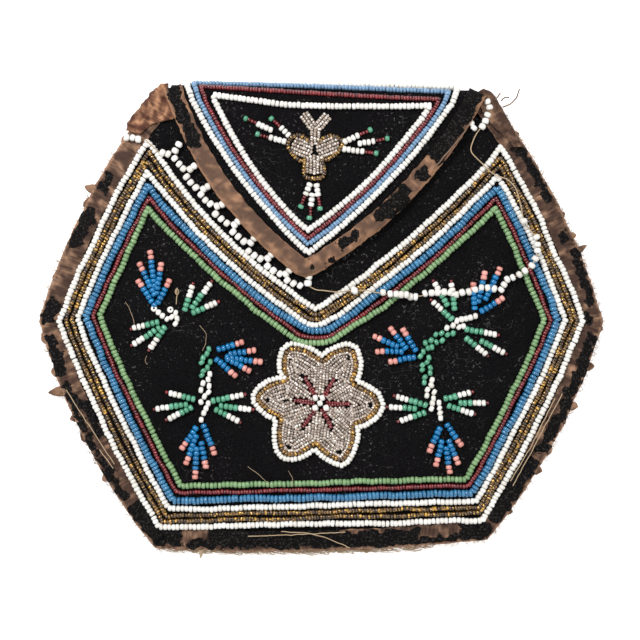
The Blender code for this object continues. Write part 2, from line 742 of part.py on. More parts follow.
def outer_row_corners():
    """Corners of the front's outer bead row, anticlockwise from the top left."""
    tip = fold_line(MOUTH_SHIFT) - FLAP_LENGTH
    valley = (FLAP_POINT_SHIFT + VALLEY_SHIFT, tip - VALLEY_DROP)
    return [
        (FOLD_LEFT[0] - SHOULDER_OUT, FOLD_LEFT[1] - SHOULDER_DROP),
        (WAIST_LEFT[0] + WAIST_INSET, WAIST_LEFT[1]),
        (BASE_LEFT[0] + BASE_TUCK, BASE_LEFT[1] + BASE_INSET),
        (BASE_RIGHT[0] - BASE_TUCK, BASE_RIGHT[1] + BASE_INSET),
        (WAIST_RIGHT[0] - WAIST_INSET, WAIST_RIGHT[1]),
        (FOLD_RIGHT[0] + SHOULDER_OUT, FOLD_RIGHT[1] - SHOULDER_DROP),
        valley,
    ]


def front_row_points(distance):
    spreads = (1.0, 1.0, BASE_SPREAD, 1.0, 1.0, 1.0, 1.0)
    bows = (-ROW_BOW, -ROW_BOW, 0.0, -ROW_BOW, -ROW_BOW, VALLEY_BOW_RIGHT, VALLEY_BOW_LEFT)
    corners = outer_row_corners()
    outer = [(corners[i], corners[(i + 1) % len(corners)], bow) for i, bow in enumerate(bows)]
    points = []
    moved = parallel_sides(outer, [distance * spread for spread in spreads])
    for i, (a, b, bow) in enumerate(moved):
        points += bowed(a, b, bow, count=math.ceil(math.dist(*outer[i][:2]) / STEP))
        following = moved[(i + 1) % len(moved)][0]
        if math.dist(b, following) > bead_space(distance):
            middle = lerp(b, following, 0.5)
            away = distance / math.dist(middle, outer[i][1])
            points += [b, lerp(outer[i][1], middle, away)]
    return points


def front_room():
    """The rows' inner base, and the units across, up to the corners and up to the dip."""
    band = sum(bead for name, bead, colour in FRONT_ROWS) - FRONT_ROWS[0][1] / 2
    band += ROW_GAP * (len(FRONT_ROWS) - 1)
    corners = outer_row_corners()
    base = WAIST_LEVEL - DROP + BASE_INSET + band * BASE_SPREAD
    across = (WAIST_WIDTH / 2 - WAIST_INSET - band) * WAIST_UNIT
    to_corners = (WAIST_LEVEL + RISE - MOUTH_SLANT / 2 - SHOULDER_DROP - base) * CORNER_UNIT
    return base, across, to_corners, (corners[6][1] - band - base) * DIP_UNIT


def front_scale():
    """The smallest unit of the front, which sizes its motifs."""
    return min(front_room()[1:])


def on_front(point):
    """A drawn place of the sprays."""
    base, across, to_corners, to_dip = front_room()
    return (point[0] * across, base + point[1] * to_corners)


def on_star(point):
    """A drawn place of the star, which stands below the dip."""
    base, across, to_corners, to_dip = front_room()
    return (point[0] * across, base + point[1] * to_dip)


def on_flap(point):
    """A drawn place among the flap's motifs."""
    x = MOUTH_SHIFT + point[0] * MOUTH_WIDTH / 2 * FOLD_UNIT
    return (x, fold_line(MOUTH_SHIFT) - point[1] * FLAP_SCALE)


FLAP_SCALE = FLAP_LENGTH * FLAP_UNIT


def bead_space(distance):
    """Corners closer than this stay sharp."""
    return max(ROW_GAP, distance * ROW_GAP)


def build_front_rows():
    """Seven rows that follow the bag's outline and dip below the flap."""
    distance = 0.0
    before = None
    for name, bead, colour in FRONT_ROWS:
        if before is not None:
            distance += before / 2 + ROW_GAP + bead / 2
        before = bead
        sides = 1 if bead > STAR_OUTLINE_BEAD else 0
        bead_row(name, front_row_points(distance), bead, colour, front_surface, sides=sides)


def build_flap_rows():
    """Four rows that follow the flap's edges and cross on or behind the fold."""
    tip = fold_line(MOUTH_SHIFT) - FLAP_LENGTH
    for name, bead, colour, turn, indent, rise in FLAP_ROWS:
        left = FOLD_LEFT[0] + indent - FLAP_ROW_SHIFT
        right = FOLD_RIGHT[0] - indent - FLAP_ROW_SHIFT
        point = (FLAP_POINT_SHIFT + FLAP_ROW_SHIFT, tip + rise)
        lift = GAP + bead / 2
        down = bowed((left, fold_start(left)), point, -FLAP_ROW_BOW)
        up = bowed(point, (right, fold_start(right)), -FLAP_ROW_BOW)
        chain = [(x, y - fold_start(x)) for x, y in down + up + [(right, fold_start(right))]]
        turns = [turn * k / 3 for k in range(1, 4)]
        chain += [(right, v) for v in turns]
        across = resample([(right, 0.0), (left, 0.0)], STEP)[1:-1]
        chain += [(x, turn) for x, _ in across]
        chain += [(left, v) for v in reversed(turns)]
        placed = [flap_point(x, v, lift) + (1.0,) for x, v in chain]
        place(curve_object(name, [placed], bead / 2, True, 1 if bead > 1.4 else 0), colour)


def finger(start, aim, length, bead, height):
    """A string of beads with rounded ends."""
    radius = bead / 2
    stations = ((0.0, 0.5), (radius, 1.0), (length - radius, 1.0), (length, 0.5))
    chain = []
    for along, share in stations:
        x, y = polar(start, aim, along)
        chain.append((x, y, height(x, y) + GAP + radius, share))
    return chain


def fan(name, root, aim, fingers, colour, height, scale):
    """Bead fingers that leave a thin spine and touch it at their roots."""
    longest = max(along for along, turn, length in fingers)
    spine = finger(root, aim, longest + SPINE, SPINE, height)
    lift = (BEAD - SPINE) / 2
    chains = [[(x, y, z + lift, share * SPINE / BEAD) for x, y, z, share in spine]]
    for k, (along, turn, length) in enumerate(fingers):
        start = polar(root, aim, along)
        tube = finger(start, aim + turn, length * scale, BEAD, height)
        chains.append([(x, y, z, share * (1.0 - k * FINGER_STEP)) for x, y, z, share in tube])
    union(name, chains, BEAD / 2, colour)


def build_sprays():
    """The left and right sprays: fans and the stems that join them."""
    for name, (root, aim, fingers, colour) in FRONT_FANS.items():
        fan(name, on_front(root), aim, fingers, colour, front_surface, front_scale())
    for name, (route, colour) in STEMS.items():
        points = resample([on_front(point) for point in route], STEP / 2)
        bead_row(name, points, STEM_BEAD, colour, front_surface, closed=False)


def star_place(aim, reach, shrink=0.0):
    """A place of the star, its drawn reach sized with the front and then shortened."""
    return polar(on_star(STAR_CENTRE), aim, reach * front_scale() - shrink)


def star_points(shrink):
    """A six-petalled outline with broad round tips, moved in by the given amount."""
    points = []
    half = STAR_TIP_WIDTH * front_scale()
    for k in range(STAR_PETALS):
        aim = STAR_TURN + 360.0 / STAR_PETALS * k
        tip = star_place(aim, STAR_REACH, shrink)
        across = polar((0.0, 0.0), aim + 90.0, half - shrink * 0.35)
        neck = star_place(aim, STAR_REACH - STAR_TIP_WIDTH * 0.55, shrink)
        points.append((neck[0] - across[0] * 1.15, neck[1] - across[1] * 1.15))
        points.append((tip[0] - across[0] * 0.45, tip[1] - across[1] * 0.45))
        points.append((tip[0] + across[0] * 0.45, tip[1] + across[1] * 0.45))
        points.append((neck[0] + across[0] * 1.15, neck[1] + across[1] * 1.15))
        points.append(star_place(aim + 180.0 / STAR_PETALS, STAR_VALLEY, shrink * 1.3))
    return points


def vein_points(margin):
    """The star-shaped clearing that the veins lie in."""
    points = []
    for k in range(STAR_PETALS):
        aim = STAR_TURN + 360.0 / STAR_PETALS * k
        end = star_place(aim, VEIN_REACH, -margin)
        across = polar((0.0, 0.0), aim + 90.0, VEIN_BEAD / 2 + margin)
        points.append((end[0] - across[0], end[1] - across[1]))
        points.append((end[0] + across[0], end[1] + across[1]))
        waist = (VEIN_BEAD / 2 + margin) * 2.0
        points.append(star_place(aim + 180.0 / STAR_PETALS, 0.0, -max(waist, HEART_RADIUS + GAP)))
    return points


def build_star():
    """The star flower: two outlines, a crystal field, six veins and a heart."""
    bead_row("star_white_outline", star_points(0.0), STAR_OUTLINE_BEAD, "white", front_surface)
    gold_in = STAR_OUTLINE_BEAD / 2 + ROW_GAP + STAR_GOLD_BEAD / 2
    bead_row("star_gold_outline", star_points(gold_in), STAR_GOLD_BEAD, "gold", front_surface, sides=0)
    field_in = gold_in + STAR_GOLD_BEAD / 2 + ROW_GAP
    height = front_height(FRONT_TOP + GAP + CRYSTAL)
    field = [star_points(field_in), vein_points(GAP)]
    cloth("star_crystal_field", field, height, CRYSTAL, "crystal")
    veins = []
    for k in range(STAR_PETALS // 2):
        aim = STAR_TURN + 360.0 / STAR_PETALS * k
        start = star_place(aim + 180.0, VEIN_REACH)
        vein = finger(start, aim, 2 * VEIN_REACH * front_scale(), VEIN_BEAD, front_surface)
        veins.append([(x, y, z, share * (1.0 - k * VEIN_STEP)) for x, y, z, share in vein])
    union("star_veins", veins, VEIN_BEAD / 2, "red", sides=0)
    top = front_height(FRONT_TOP + GAP + VEIN_BEAD)
    places = [star_place(0.0, 0.0)] + [star_place(aim, 0.0, -HEART_RADIUS) for aim in HEART_AIMS]
    beads = [(x, y, top(x, y) + GAP + HEART_BEAD / 2) for x, y in places]
    bead_cluster("star_heart", beads, HEART_BEAD, "white")


def petal_outline(aim, shrink):
    """A pointed oval that leaves the flap motif's middle."""
    length, half = FLAP_PETAL_LENGTH * FLAP_SCALE - shrink, FLAP_PETAL_WIDTH / 2 * FLAP_SCALE - shrink
    middle = on_flap(FLAP_MOTIF)
    points = []
    for along, share in ((0.0, 0.45), (0.35, 1.0), (0.75, 0.95), (1.0, 0.4)):
        centre = polar(middle, aim, FLAP_PETAL_ROOT + shrink + along * (length - shrink))
        points.append(polar(centre, aim - 90.0, half * share))
    for along, share in ((1.0, 0.4), (0.75, 0.95), (0.35, 1.0), (0.0, 0.45)):
        centre = polar(middle, aim, FLAP_PETAL_ROOT + shrink + along * (length - shrink))
        points.append(polar(centre, aim + 90.0, half * share))
    return points


def build_flap_motif():
    """Three crystal petals with gold outlines, a sprig above and three fans."""
    sides = ("left", "right", "low")
    inside = STAR_GOLD_BEAD / 2 + ROW_GAP
    height = flap_height(FLAP_TOP + GAP + CRYSTAL)
    for side, aim in zip(sides, FLAP_PETAL_AIMS):
        outline = petal_outline(aim, 0.0)
        bead_row(f"flap_{side}_petal_outline", outline, STAR_GOLD_BEAD, "gold", flap_surface, sides=0)
        field = [petal_outline(aim, inside)]
        cloth(f"flap_{side}_petal", field, height, CRYSTAL, "crystal")
    middle = on_flap(FLAP_MOTIF)
    foot = (middle[0], middle[1] + SPRIG_RISE * FLAP_SCALE)
    sprig = []
    for aim, length in SPRIG_ARMS:
        start = polar(foot, aim, -VEIN_BEAD / 3)
        sprig.append(finger(start, aim, length * FLAP_SCALE, VEIN_BEAD, flap_surface))
    union("flap_sprig", sprig, VEIN_BEAD / 2, "crystal", sides=0)
    for name, (root, aim, fingers, colour) in FLAP_FANS.items():
        fan(name, on_flap(root), aim, fingers, colour, flap_surface, FLAP_SCALE)


def build_lace():
    """Lace of two-bead teeth on a base that runs beside the outer row."""
    corners = outer_row_corners()
    line = bowed(corners[0], corners[6], -VALLEY_BOW_LEFT, step=STEP / 3)
    beside = FRONT_ROWS[0][1] / 2 + ROW_GAP + LACE_BEAD / 2
    base = inset(line, -beside, closed=False)
    count = len(base)
    first, last = int(LACE_START * count), int(LACE_END * count)
    base = base[first:last + 1]
    chains = [laid(base, LACE_BEAD / 2, front_surface)]
    for k in range(LACE_TEETH):
        place_along = (k + 0.5) / LACE_TEETH * (len(base) - 1)
        i = int(place_along)
        foot = lerp(base[i], base[i + 1], place_along - i)
        aim = math.degrees(math.atan2(base[i + 1][1] - base[i][1], base[i + 1][0] - base[i][0])) + 90.0
        tooth = finger(foot, aim, LACE_TOOTH, LACE_TOOTH_BEAD, front_surface)
        scale = LACE_TOOTH_BEAD / LACE_BEAD
        chains.append([(x, y, z, share * scale) for x, y, z, share in tooth])
    union("bead_lace", chains, LACE_BEAD / 2, "white")


def smooth_route(points, step):
    """Points of even spacing on a smooth curve through the given ones."""
    ends = [points[0]] + list(points) + [points[-1]]
    fine = []
    for i in range(len(points) - 1):
        p0, p1, p2, p3 = ends[i:i + 4]
        for k in range(8):
            t = k / 8
            fine.append(tuple(
                0.5 * (2 * b + (c - a) * t + (2 * a - 5 * b + 4 * c - d) * t * t
                       + (3 * b - a - 3 * c + d) * t ** 3)
                for a, b, c, d in zip(p0, p1, p2, p3)))
    fine.append(points[-1])
    total = sum(math.dist(a, b) for a, b in zip(fine, fine[1:]))
    count = round(total / step)
    result, travelled, i = [fine[0]], 0.0, 0
    for k in range(1, count):
        goal = total * k / count
        while travelled + math.dist(fine[i], fine[i + 1]) < goal:
            travelled += math.dist(fine[i], fine[i + 1])
            i += 1
        result.append(lerp(fine[i], fine[i + 1], (goal - travelled) / math.dist(fine[i], fine[i + 1])))
    return result + [fine[-1]]


def build_strand():
    """The loose string of the lace, which lies over the bead rows."""
    route = smooth_route(STRAND_ROUTE, 3 * STRAND)
    lift = GAP + max(bead for _, bead, _ in FRONT_ROWS)
    chain = [(x, y, front_surface(x, y) + lift + GAP + STRAND / 2, 1.0) for x, y in route]
    place(curve_object("loose_strand", [chain], STRAND / 2, False, 2), "white")


def centre_the_bag():
    """Moves the frame so that the middle of the bag, seen from above, is the origin."""
    bpy.context.view_layer.update()
    graph = bpy.context.evaluated_depsgraph_get()
    corners = []
    for obj in parts.objects:
        if obj.name not in (whole.name, "loose_strand"):
            mesh = obj.evaluated_get(graph).to_mesh()
            corners += [vert.co.copy() for vert in mesh.vertices]
            obj.evaluated_get(graph).to_mesh_clear()
    for axis in (0, 1):
        values = [co[axis] for co in corners]
        whole.location[axis] = -(min(values) + max(values)) / 2
    bpy.context.view_layer.update()


def main():
    bpy.context.scene.collection.children.link(parts)
    parts.objects.link(whole)
    build_panels()
    build_bindings()
    build_flap()
    build_front_rows()
    build_flap_rows()
    build_sprays()
    build_star()
    build_flap_motif()
    build_lace()
    build_strand()
    centre_the_bag()


main()
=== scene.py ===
import math
import random
from math import atan2, ceil, cos, dist, pi, sin, tau

import bmesh
import bpy
from mathutils import Matrix, Vector, noise


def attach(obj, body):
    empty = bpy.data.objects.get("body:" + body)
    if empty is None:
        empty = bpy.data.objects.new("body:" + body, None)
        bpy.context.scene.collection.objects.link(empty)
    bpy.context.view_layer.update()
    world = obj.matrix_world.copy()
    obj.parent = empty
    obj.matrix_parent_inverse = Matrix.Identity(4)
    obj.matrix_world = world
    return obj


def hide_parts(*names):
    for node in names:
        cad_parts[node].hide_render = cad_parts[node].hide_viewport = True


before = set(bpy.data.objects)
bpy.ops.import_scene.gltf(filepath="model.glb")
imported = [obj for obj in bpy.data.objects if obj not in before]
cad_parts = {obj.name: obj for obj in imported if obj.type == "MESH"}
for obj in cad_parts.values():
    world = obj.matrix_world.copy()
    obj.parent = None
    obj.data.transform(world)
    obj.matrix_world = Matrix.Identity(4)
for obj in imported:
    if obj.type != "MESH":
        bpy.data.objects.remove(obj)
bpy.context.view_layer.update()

# An old beaded velvet bag, lying on its back. Plan sizes are in millimetres, measured
# from the middle of the bag's waist, and the finished meshes are in metres.
MM = 0.001
FRAME_SHIFT = (0.0, -0.398)
random.seed(1880)

# The bag's own sizes, as its solids have them
MOUTH_WIDTH, WAIST_WIDTH, BASE_WIDTH = 96.9, 170.0, 100.2
WAIST_LEVEL, RISE, DROP = -1.4, 70.3, 67.1
MOUTH_SLANT, BASE_SLANT, MOUTH_SHIFT = -1.8, 2.5, 1.0
SIDE_BOW, BASE_BOW = 4.0, 2.0
GAP, VELVET, INTERLINING, LINING, RIBBON = 0.3, 0.7, 0.3, 0.25, 0.3
RIBBON_ROUND = 0.7
BELLY, BELLY_REACH, MOUTH_DIP = 5.5, 45.0, 0.05
RIM_FLAT, RIM_FADE = 8.0, 12.0
MOUTH_DROP, SEAM_DROP, FOLD_ROOM = 7.6, 6.6, 6.0
FLAP_LENGTH, FLAP_POINT_SHIFT, FLAP_BOW, FLAP_TIP = 57.2, -4.5, 5.0, 3.0
FLAP_START, SEAM_TUCK = 1.2, 3.6
SHOULDER_OUT, SHOULDER_DROP, WAIST_INSET = 4.6, 17.2, 6.3
BASE_INSET, BASE_TUCK = 6.2, 1.5
VALLEY_DROP, VALLEY_SHIFT, ROW_BOW = 9.6, 3.0, 1.4
VALLEY_BOW_LEFT, VALLEY_BOW_RIGHT = 3.8, 2.6
CLOTH_CELL = 2.6


def ripple(x, y, z):
    return noise.noise(Vector((x, y, z)))


# Plan geometry, as in the solids

def lerp(a, b, t):
    return tuple(p + (q - p) * t for p, q in zip(a, b))


def bowed(a, b, bow, count):
    length = dist(a, b)
    side = ((a[1] - b[1]) / length, (b[0] - a[0]) / length)
    points = []
    for i in range(count):
        t = i / count
        x, y = lerp(a, b, t)
        out = bow * 4.0 * t * (1.0 - t)
        points.append((x + side[0] * out, y + side[1] * out))
    return points


def inset(points, distance, closed=True):
    moved = []
    last = len(points) - 1
    for i, point in enumerate(points):
        before = points[i - 1] if closed or i > 0 else None
        after = points[(i + 1) % len(points)] if closed or i < last else None
        normals = []
        for a, b in ((before, point), (point, after)):
            if a is not None and b is not None:
                length = dist(a, b)
                normals.append(((b[1] - a[1]) / length, (a[0] - b[0]) / length))
        nx = sum(n[0] for n in normals) / len(normals)
        ny = sum(n[1] for n in normals) / len(normals)
        scale = distance / max(nx * nx + ny * ny, 0.6)
        moved.append((point[0] + nx * scale, point[1] + ny * scale))
    return moved


def heading(side, at_end):
    a, b, bow = side
    lean = math.atan(4.0 * bow / dist(a, b))
    return atan2(b[1] - a[1], b[0] - a[0]) + (-lean if at_end else lean)


def left_of(corner, direction, distance):
    return (corner[0] - sin(direction) * distance, corner[1] + cos(direction) * distance)


def meeting(corner, heading1, distance1, heading2, distance2):
    x1, y1 = left_of(corner, heading1, distance1)
    x2, y2 = left_of(corner, heading2, distance2)
    ux1, uy1 = cos(heading1), sin(heading1)
    ux2, uy2 = cos(heading2), sin(heading2)
    t = ((x2 - x1) * uy2 - (y2 - y1) * ux2) / (ux1 * uy2 - uy1 * ux2)
    return (x1 + ux1 * t, y1 + uy1 * t)


def parallel_sides(sides, distances):
    """Bowed sides moved inwards. They meet in new corners, but end side by side at a
    corner that points inwards."""
    joints = []
    for i, side in enumerate(sides):
        arrive, leave = heading(sides[i - 1], True), heading(side, False)
        if sin(leave - arrive) > 0.0:
            corner = meeting(side[0], arrive, distances[i - 1], leave, distances[i])
            joints.append((corner, corner))
        else:
            joints.append((left_of(side[0], arrive, distances[i - 1]), left_of(side[0], leave, distances[i])))
    moved = []
    for i, (a, b, bow) in enumerate(sides):
        c, d = joints[i][1], joints[(i + 1) % len(sides)][0]
        turn = atan2(b[1] - a[1], b[0] - a[0])
        top = left_of(lerp(a, b, 0.5), turn, bow + distances[i])
        new_turn = atan2(d[1] - c[1], d[0] - c[0])
        moved.append((c, d, (top[1] - c[1]) * cos(new_turn) - (top[0] - c[0]) * sin(new_turn)))
    return moved


def shifted(point, a, b, distance):
    length = dist(a, b)
    return (point[0] + (b[0] - a[0]) / length * distance, point[1] + (b[1] - a[1]) / length * distance)


FOLD_LEFT = (MOUTH_SHIFT - MOUTH_WIDTH / 2, WAIST_LEVEL + RISE - MOUTH_SLANT / 2)
FOLD_RIGHT = (MOUTH_SHIFT + MOUTH_WIDTH / 2, WAIST_LEVEL + RISE + MOUTH_SLANT / 2)
WAIST_LEFT, WAIST_RIGHT = (-WAIST_WIDTH / 2, WAIST_LEVEL), (WAIST_WIDTH / 2, WAIST_LEVEL)
BASE_LEFT = (-BASE_WIDTH / 2, WAIST_LEVEL - DROP - BASE_SLANT / 2)
BASE_RIGHT = (BASE_WIDTH / 2, WAIST_LEVEL - DROP + BASE_SLANT / 2)
BOUND_SIDES = (
    (FOLD_LEFT, WAIST_LEFT, SIDE_BOW),
    (WAIST_LEFT, BASE_LEFT, SIDE_BOW),
    (BASE_LEFT, BASE_RIGHT, BASE_BOW),
    (BASE_RIGHT, WAIST_RIGHT, SIDE_BOW),
    (WAIST_RIGHT, FOLD_RIGHT, SIDE_BOW),
)


def fold_line(x):
    slope = (FOLD_RIGHT[1] - FOLD_LEFT[1]) / (FOLD_RIGHT[0] - FOLD_LEFT[0])
    return FOLD_LEFT[1] + (x - FOLD_LEFT[0]) * slope


def side_distance(side, x, y):
    a, b, bow = side
    length = dist(a, b)
    ux, uy = (b[0] - a[0]) / length, (b[1] - a[1]) / length
    t = min(max(((x - a[0]) * ux + (y - a[1]) * uy) / length, 0.0), 1.0)
    return (y - a[1]) * ux - (x - a[0]) * uy + bow * 4.0 * t * (1.0 - t)


def belly(x, y):
    """Swell of the front over the back, nothing at the bound sides."""
    share = 1.0
    for side in BOUND_SIDES:
        near = min(max(side_distance(side, x, y) / BELLY_REACH, 0.0), 1.0)
        share *= 1.0 - (1.0 - near) ** 2
    near = min(max((fold_line(x) - y) / BELLY_REACH, 0.0), 1.0)
    return BELLY * share * (1.0 - MOUTH_DIP * (1.0 - near) ** 2)


def rim_lift(x, y):
    flat = 1.0
    for side in BOUND_SIDES:
        t = min(max((side_distance(side, x, y) - RIM_FLAT) / RIM_FADE, 0.0), 1.0)
        flat *= t * t * (3.0 - 2.0 * t)
    return (RIBBON + GAP) * (1.0 - flat)


BACK_INTERLINING_TOP = VELVET + GAP + INTERLINING
BACK_LINING_TOP = BACK_INTERLINING_TOP + GAP + LINING
FRONT_LINING_TOP = BACK_LINING_TOP + GAP + LINING
FRONT_INTERLINING_TOP = FRONT_LINING_TOP + GAP + INTERLINING
FRONT_TOP = FRONT_INTERLINING_TOP + GAP + VELVET
FLAP_LINING_TOP = FRONT_TOP + GAP + RIBBON + GAP + LINING
FLAP_INTERLINING_TOP = FLAP_LINING_TOP + GAP + INTERLINING
FLAP_TOP = FLAP_INTERLINING_TOP + GAP + VELVET


def back_height(level):
    return lambda x, y: level + rim_lift(x, y)


def front_height(level):
    return lambda x, y: level + rim_lift(x, y) + belly(x, y)


front_surface = front_height(FRONT_TOP)


def flap_height(level):
    inner = front_height(level)
    return lambda x, y: inner(x, min(y, fold_line(x) - FOLD_ROOM))


flap_surface = flap_height(FLAP_TOP)


def fold_radius(x):
    return flap_surface(x, fold_line(x)) / 2


def fold_start(x):
    return fold_line(x) - fold_radius(x)


def flap_point(x, v, lift=0.0):
    """A place on the flap's velvet: v below 0 is millimetres down the flap from the
    fold's start, 0 to 1 the half turn round the fold, 1 to 2 the run to the seam."""
    radius = fold_radius(x)
    start = fold_start(x)
    if v <= 0.0:
        return (x, start + v, flap_surface(x, start + v) + lift)
    if v <= 1.0:
        turn = pi * v
        return (x, start + (radius + lift) * sin(turn), radius + (radius + lift) * cos(turn))
    seam = fold_line(x) - SEAM_DROP
    return (x, start + (seam - start) * (v - 1.0), -lift)


def crossing(chain, above):
    """Where a chain first comes down through the level that above measures from."""
    for a, b in zip(chain, chain[1:]):
        if above(a) >= 0.0 > above(b):
            return lerp(a, b, above(a) / (above(a) - above(b)))
    return chain[0]


def bag_path(drop, step=3.0):
    start = lerp(FOLD_LEFT, WAIST_LEFT, drop / dist(FOLD_LEFT, WAIST_LEFT))
    points = []
    for a, b, bow in BOUND_SIDES:
        points += bowed(a, b, -bow, ceil(dist(a, b) / step))
    points[0] = start
    points.append(lerp(FOLD_RIGHT, WAIST_RIGHT, drop / dist(FOLD_RIGHT, WAIST_RIGHT)))
    return points


def cut_off(edge, above, room):
    """The part of an outline below a level, with a straight top."""
    low = [place for place in edge if above(place) < -room]
    return [crossing(edge, above)] + low + [crossing(edge[::-1], above)]


def panel_outline(top_drop):
    edge = inset(bag_path(0.0), -(GAP + RIBBON), closed=False)
    return cut_off(edge, lambda place: place[1] - fold_line(place[0]) + top_drop, 0.5)


def flap_sides(step=3.0):
    tip = fold_line(MOUTH_SHIFT) - FLAP_LENGTH
    left = (FOLD_LEFT[0] + FLAP_START, fold_start(FOLD_LEFT[0] + FLAP_START))
    right = (FOLD_RIGHT[0] - FLAP_START, fold_start(FOLD_RIGHT[0] - FLAP_START))
    tip_left = (FLAP_POINT_SHIFT - FLAP_TIP, tip + FLAP_TIP / 3)
    tip_right = (FLAP_POINT_SHIFT + FLAP_TIP, tip + FLAP_TIP / 3)
    count = ceil(dist(left, tip_left) / step)
    points = bowed(left, tip_left, -FLAP_BOW, count) + [tip_left, (FLAP_POINT_SHIFT, tip)]
    return points + bowed(tip_right, right, -FLAP_BOW, count) + [right]


# Shaders: sums on wires add the nodes they need

class Wire:
    """An output socket, on which plain sums work."""

    def __init__(self, paint, socket):
        self.paint, self.socket = paint, socket

    def sum_with(self, operation, first, second):
        return self.paint.node("ShaderNodeMath", {"operation": operation}, {0: first, 1: second})

    def __add__(self, other):
        return self.sum_with("ADD", self, other)

    def __sub__(self, other):
        return self.sum_with("SUBTRACT", self, other)

    def __rsub__(self, other):
        return self.sum_with("SUBTRACT", other, self)

    def __mul__(self, other):
        return self.sum_with("MULTIPLY", self, other)

    def __abs__(self):
        return self.sum_with("ABSOLUTE", self, 0.0)

    def past(self, low, high):
        """0 below low, 1 above high and smooth between."""
        settings = {"interpolation_type": "SMOOTHSTEP"}
        return self.paint.node("ShaderNodeMapRange", settings, {0: self, 1: low, 2: high})

    __radd__ = __add__
    __rmul__ = __mul__


class Paint:
    """A material under way, with its Principled shader."""

    def __init__(self, name, **constants):
        self.material = bpy.data.materials.new(name)
        self.material.use_nodes = True
        self.tree = self.material.node_tree
        self.shader = self.tree.nodes["Principled BSDF"]
        self.place = self.node("ShaderNodeTexCoord", {}, {}, "Object")
        for socket, value in constants.items():
            self.shader.inputs[socket.replace("_", " ").title().replace("Ior", "IOR")].default_value = value

    def node(self, kind, settings, values, output=0):
        made = self.tree.nodes.new(kind)
        for key, value in settings.items():
            setattr(made, key, value)
        for key, value in values.items():
            if isinstance(value, Wire):
                self.tree.links.new(value.socket, made.inputs[key])
            else:
                made.inputs[key].default_value = value
        return Wire(self, made.outputs[output])

    def noise(self, scale, detail=3.0, where=None):
        values = {"Vector": where or self.place, "Scale": scale, "Detail": detail}
        return self.node("ShaderNodeTexNoise", {}, values)

    def stretched(self, x, y, z, where=None):
        values = {0: where or self.place, 1: (x, y, z)}
        return self.node("ShaderNodeVectorMath", {"operation": "MULTIPLY"}, values)

    def mix(self, first, second, share):
        values = {0: share}
        for key, colour in ((6, first), (7, second)):
            values[key] = colour if isinstance(colour, Wire) else (*colour, 1.0)
        return self.node("ShaderNodeMix", {"data_type": "RGBA"}, values, 2)

    def attribute(self, name, output="Fac"):
        return self.node("ShaderNodeAttribute", {"attribute_name": name}, {}, output)

    def feed(self, socket, value):
        self.tree.links.new(value.socket, self.shader.inputs[socket])

    def bump(self, height, distance, strength=1.0):
        values = {"Height": height, "Distance": distance, "Strength": strength}
        self.feed("Normal", self.node("ShaderNodeBump", {}, values))


def velvet_finish(name, deep, lint):
    """Black cotton velvet: short pile, dust in it and a few pale hairs."""
    paint = Paint(name, roughness=0.95, sheen_weight=0.004, sheen_roughness=0.5, specular_ior_level=0.03)
    pile = paint.noise(2600.0, 4.0)
    cloud = paint.noise(70.0, 4.0)
    hairs = paint.noise(150.0, 1.5, paint.stretched(1.0, 1.6, 1.0))
    line = 1.0 - abs(hairs - 0.5).past(0.0012, 0.005)
    some = paint.noise(60.0, 2.0).past(0.56, 0.66)
    dust = paint.noise(1300.0, 2.0).past(0.61, 0.76) * cloud.past(0.4, 0.6)
    pale = line * some * 0.5 + dust
    black = paint.mix([c * 0.2 for c in deep], [c * 1.7 for c in deep], pile.past(0.3, 0.7) * 0.6 + cloud * 0.4)
    paint.feed("Base Color", paint.mix(black, lint, pale))
    paint.bump(pile, 0.00025, 0.6)
    return paint.material


def silk_finish(name, dark, light, black, streaks=1.0):
    """Worn brown silk ribbon: fine ribs across it, pale folds and edges, and patches where
    the silk is gone and the black cloth under it shows. The pale of the folds and edges is partly
    wear and partly painted light: painted highlight on fold ridges and the rolled edge, painted shade in fold
    hollows."""
    paint = Paint(name, roughness=0.75, sheen_weight=0.0, specular_ior_level=0.05)
    ribbon = paint.node("ShaderNodeUVMap", {}, {})
    ribs = paint.noise(1.0, 3.0, paint.stretched(1500.0, 260.0, 1.0, ribbon))
    streak = paint.noise(1.0, 3.0, paint.stretched(420.0, 120.0, 1.0, ribbon))
    blotch = paint.noise(300.0, 5.0)
    broad = paint.noise(70.0, 3.0)
    wear_and_fold_light = paint.attribute("wear_and_fold_light")
    ragged = paint.noise(380.0, 6.0)
    nick = paint.noise(520.0, 4.0).past(0.62, 0.68) * paint.noise(120.0, 2.0).past(0.45, 0.6)
    # shade mixes the silk's own blotches and streaks with painted light from the wear attribute: pale fold ridges and
    # rolled edges (painted highlight, partly real wear) and darker fold hollows (painted shade)
    shade = (blotch - 0.5) * 0.7 + (broad - 0.5) * 0.8 + (streak - 0.5) * (1.6 * streaks) + wear_and_fold_light * 0.75 + 0.12
    silk = paint.mix(dark, light, shade.past(0.0, 1.0))
    silk = paint.mix(silk, [c * 0.35 for c in dark], (1.0 - ribs.past(0.3, 0.55)) * (0.6 * streaks))
    gone = (paint.attribute("bare") + (ragged - 0.5) * 1.3 + nick * 0.35).past(0.46, 0.54)
    fuzz = paint.noise(1700.0, 3.0).past(0.5, 0.72)
    under = paint.mix([c * 0.6 for c in black], [c * 5.0 for c in black], fuzz)
    paint.feed("Base Color", paint.mix(silk, under, gone))
    paint.bump(ribs * 0.4 + blotch * 0.9 + streak * 0.5 - gone * 1.2, 0.0003, 0.8)
    return paint.material


def woven_finish(name, dark, light, scale):
    """Plain cotton cloth with crossing threads."""
    paint = Paint(name, roughness=0.85, sheen_weight=0.1)
    warp = paint.noise(1.0, 1.0, paint.stretched(scale, scale * 0.12, scale))
    weft = paint.noise(1.0, 1.0, paint.stretched(scale * 0.12, scale, scale))
    stain = paint.noise(60.0, 4.0)
    threads = warp * 0.5 + weft * 0.5
    paint.feed("Base Color", paint.mix(dark, light, threads.past(0.3, 0.7) * 0.6 + stain * 0.4))
    paint.bump(threads, 0.0001, 0.6)
    return paint.material


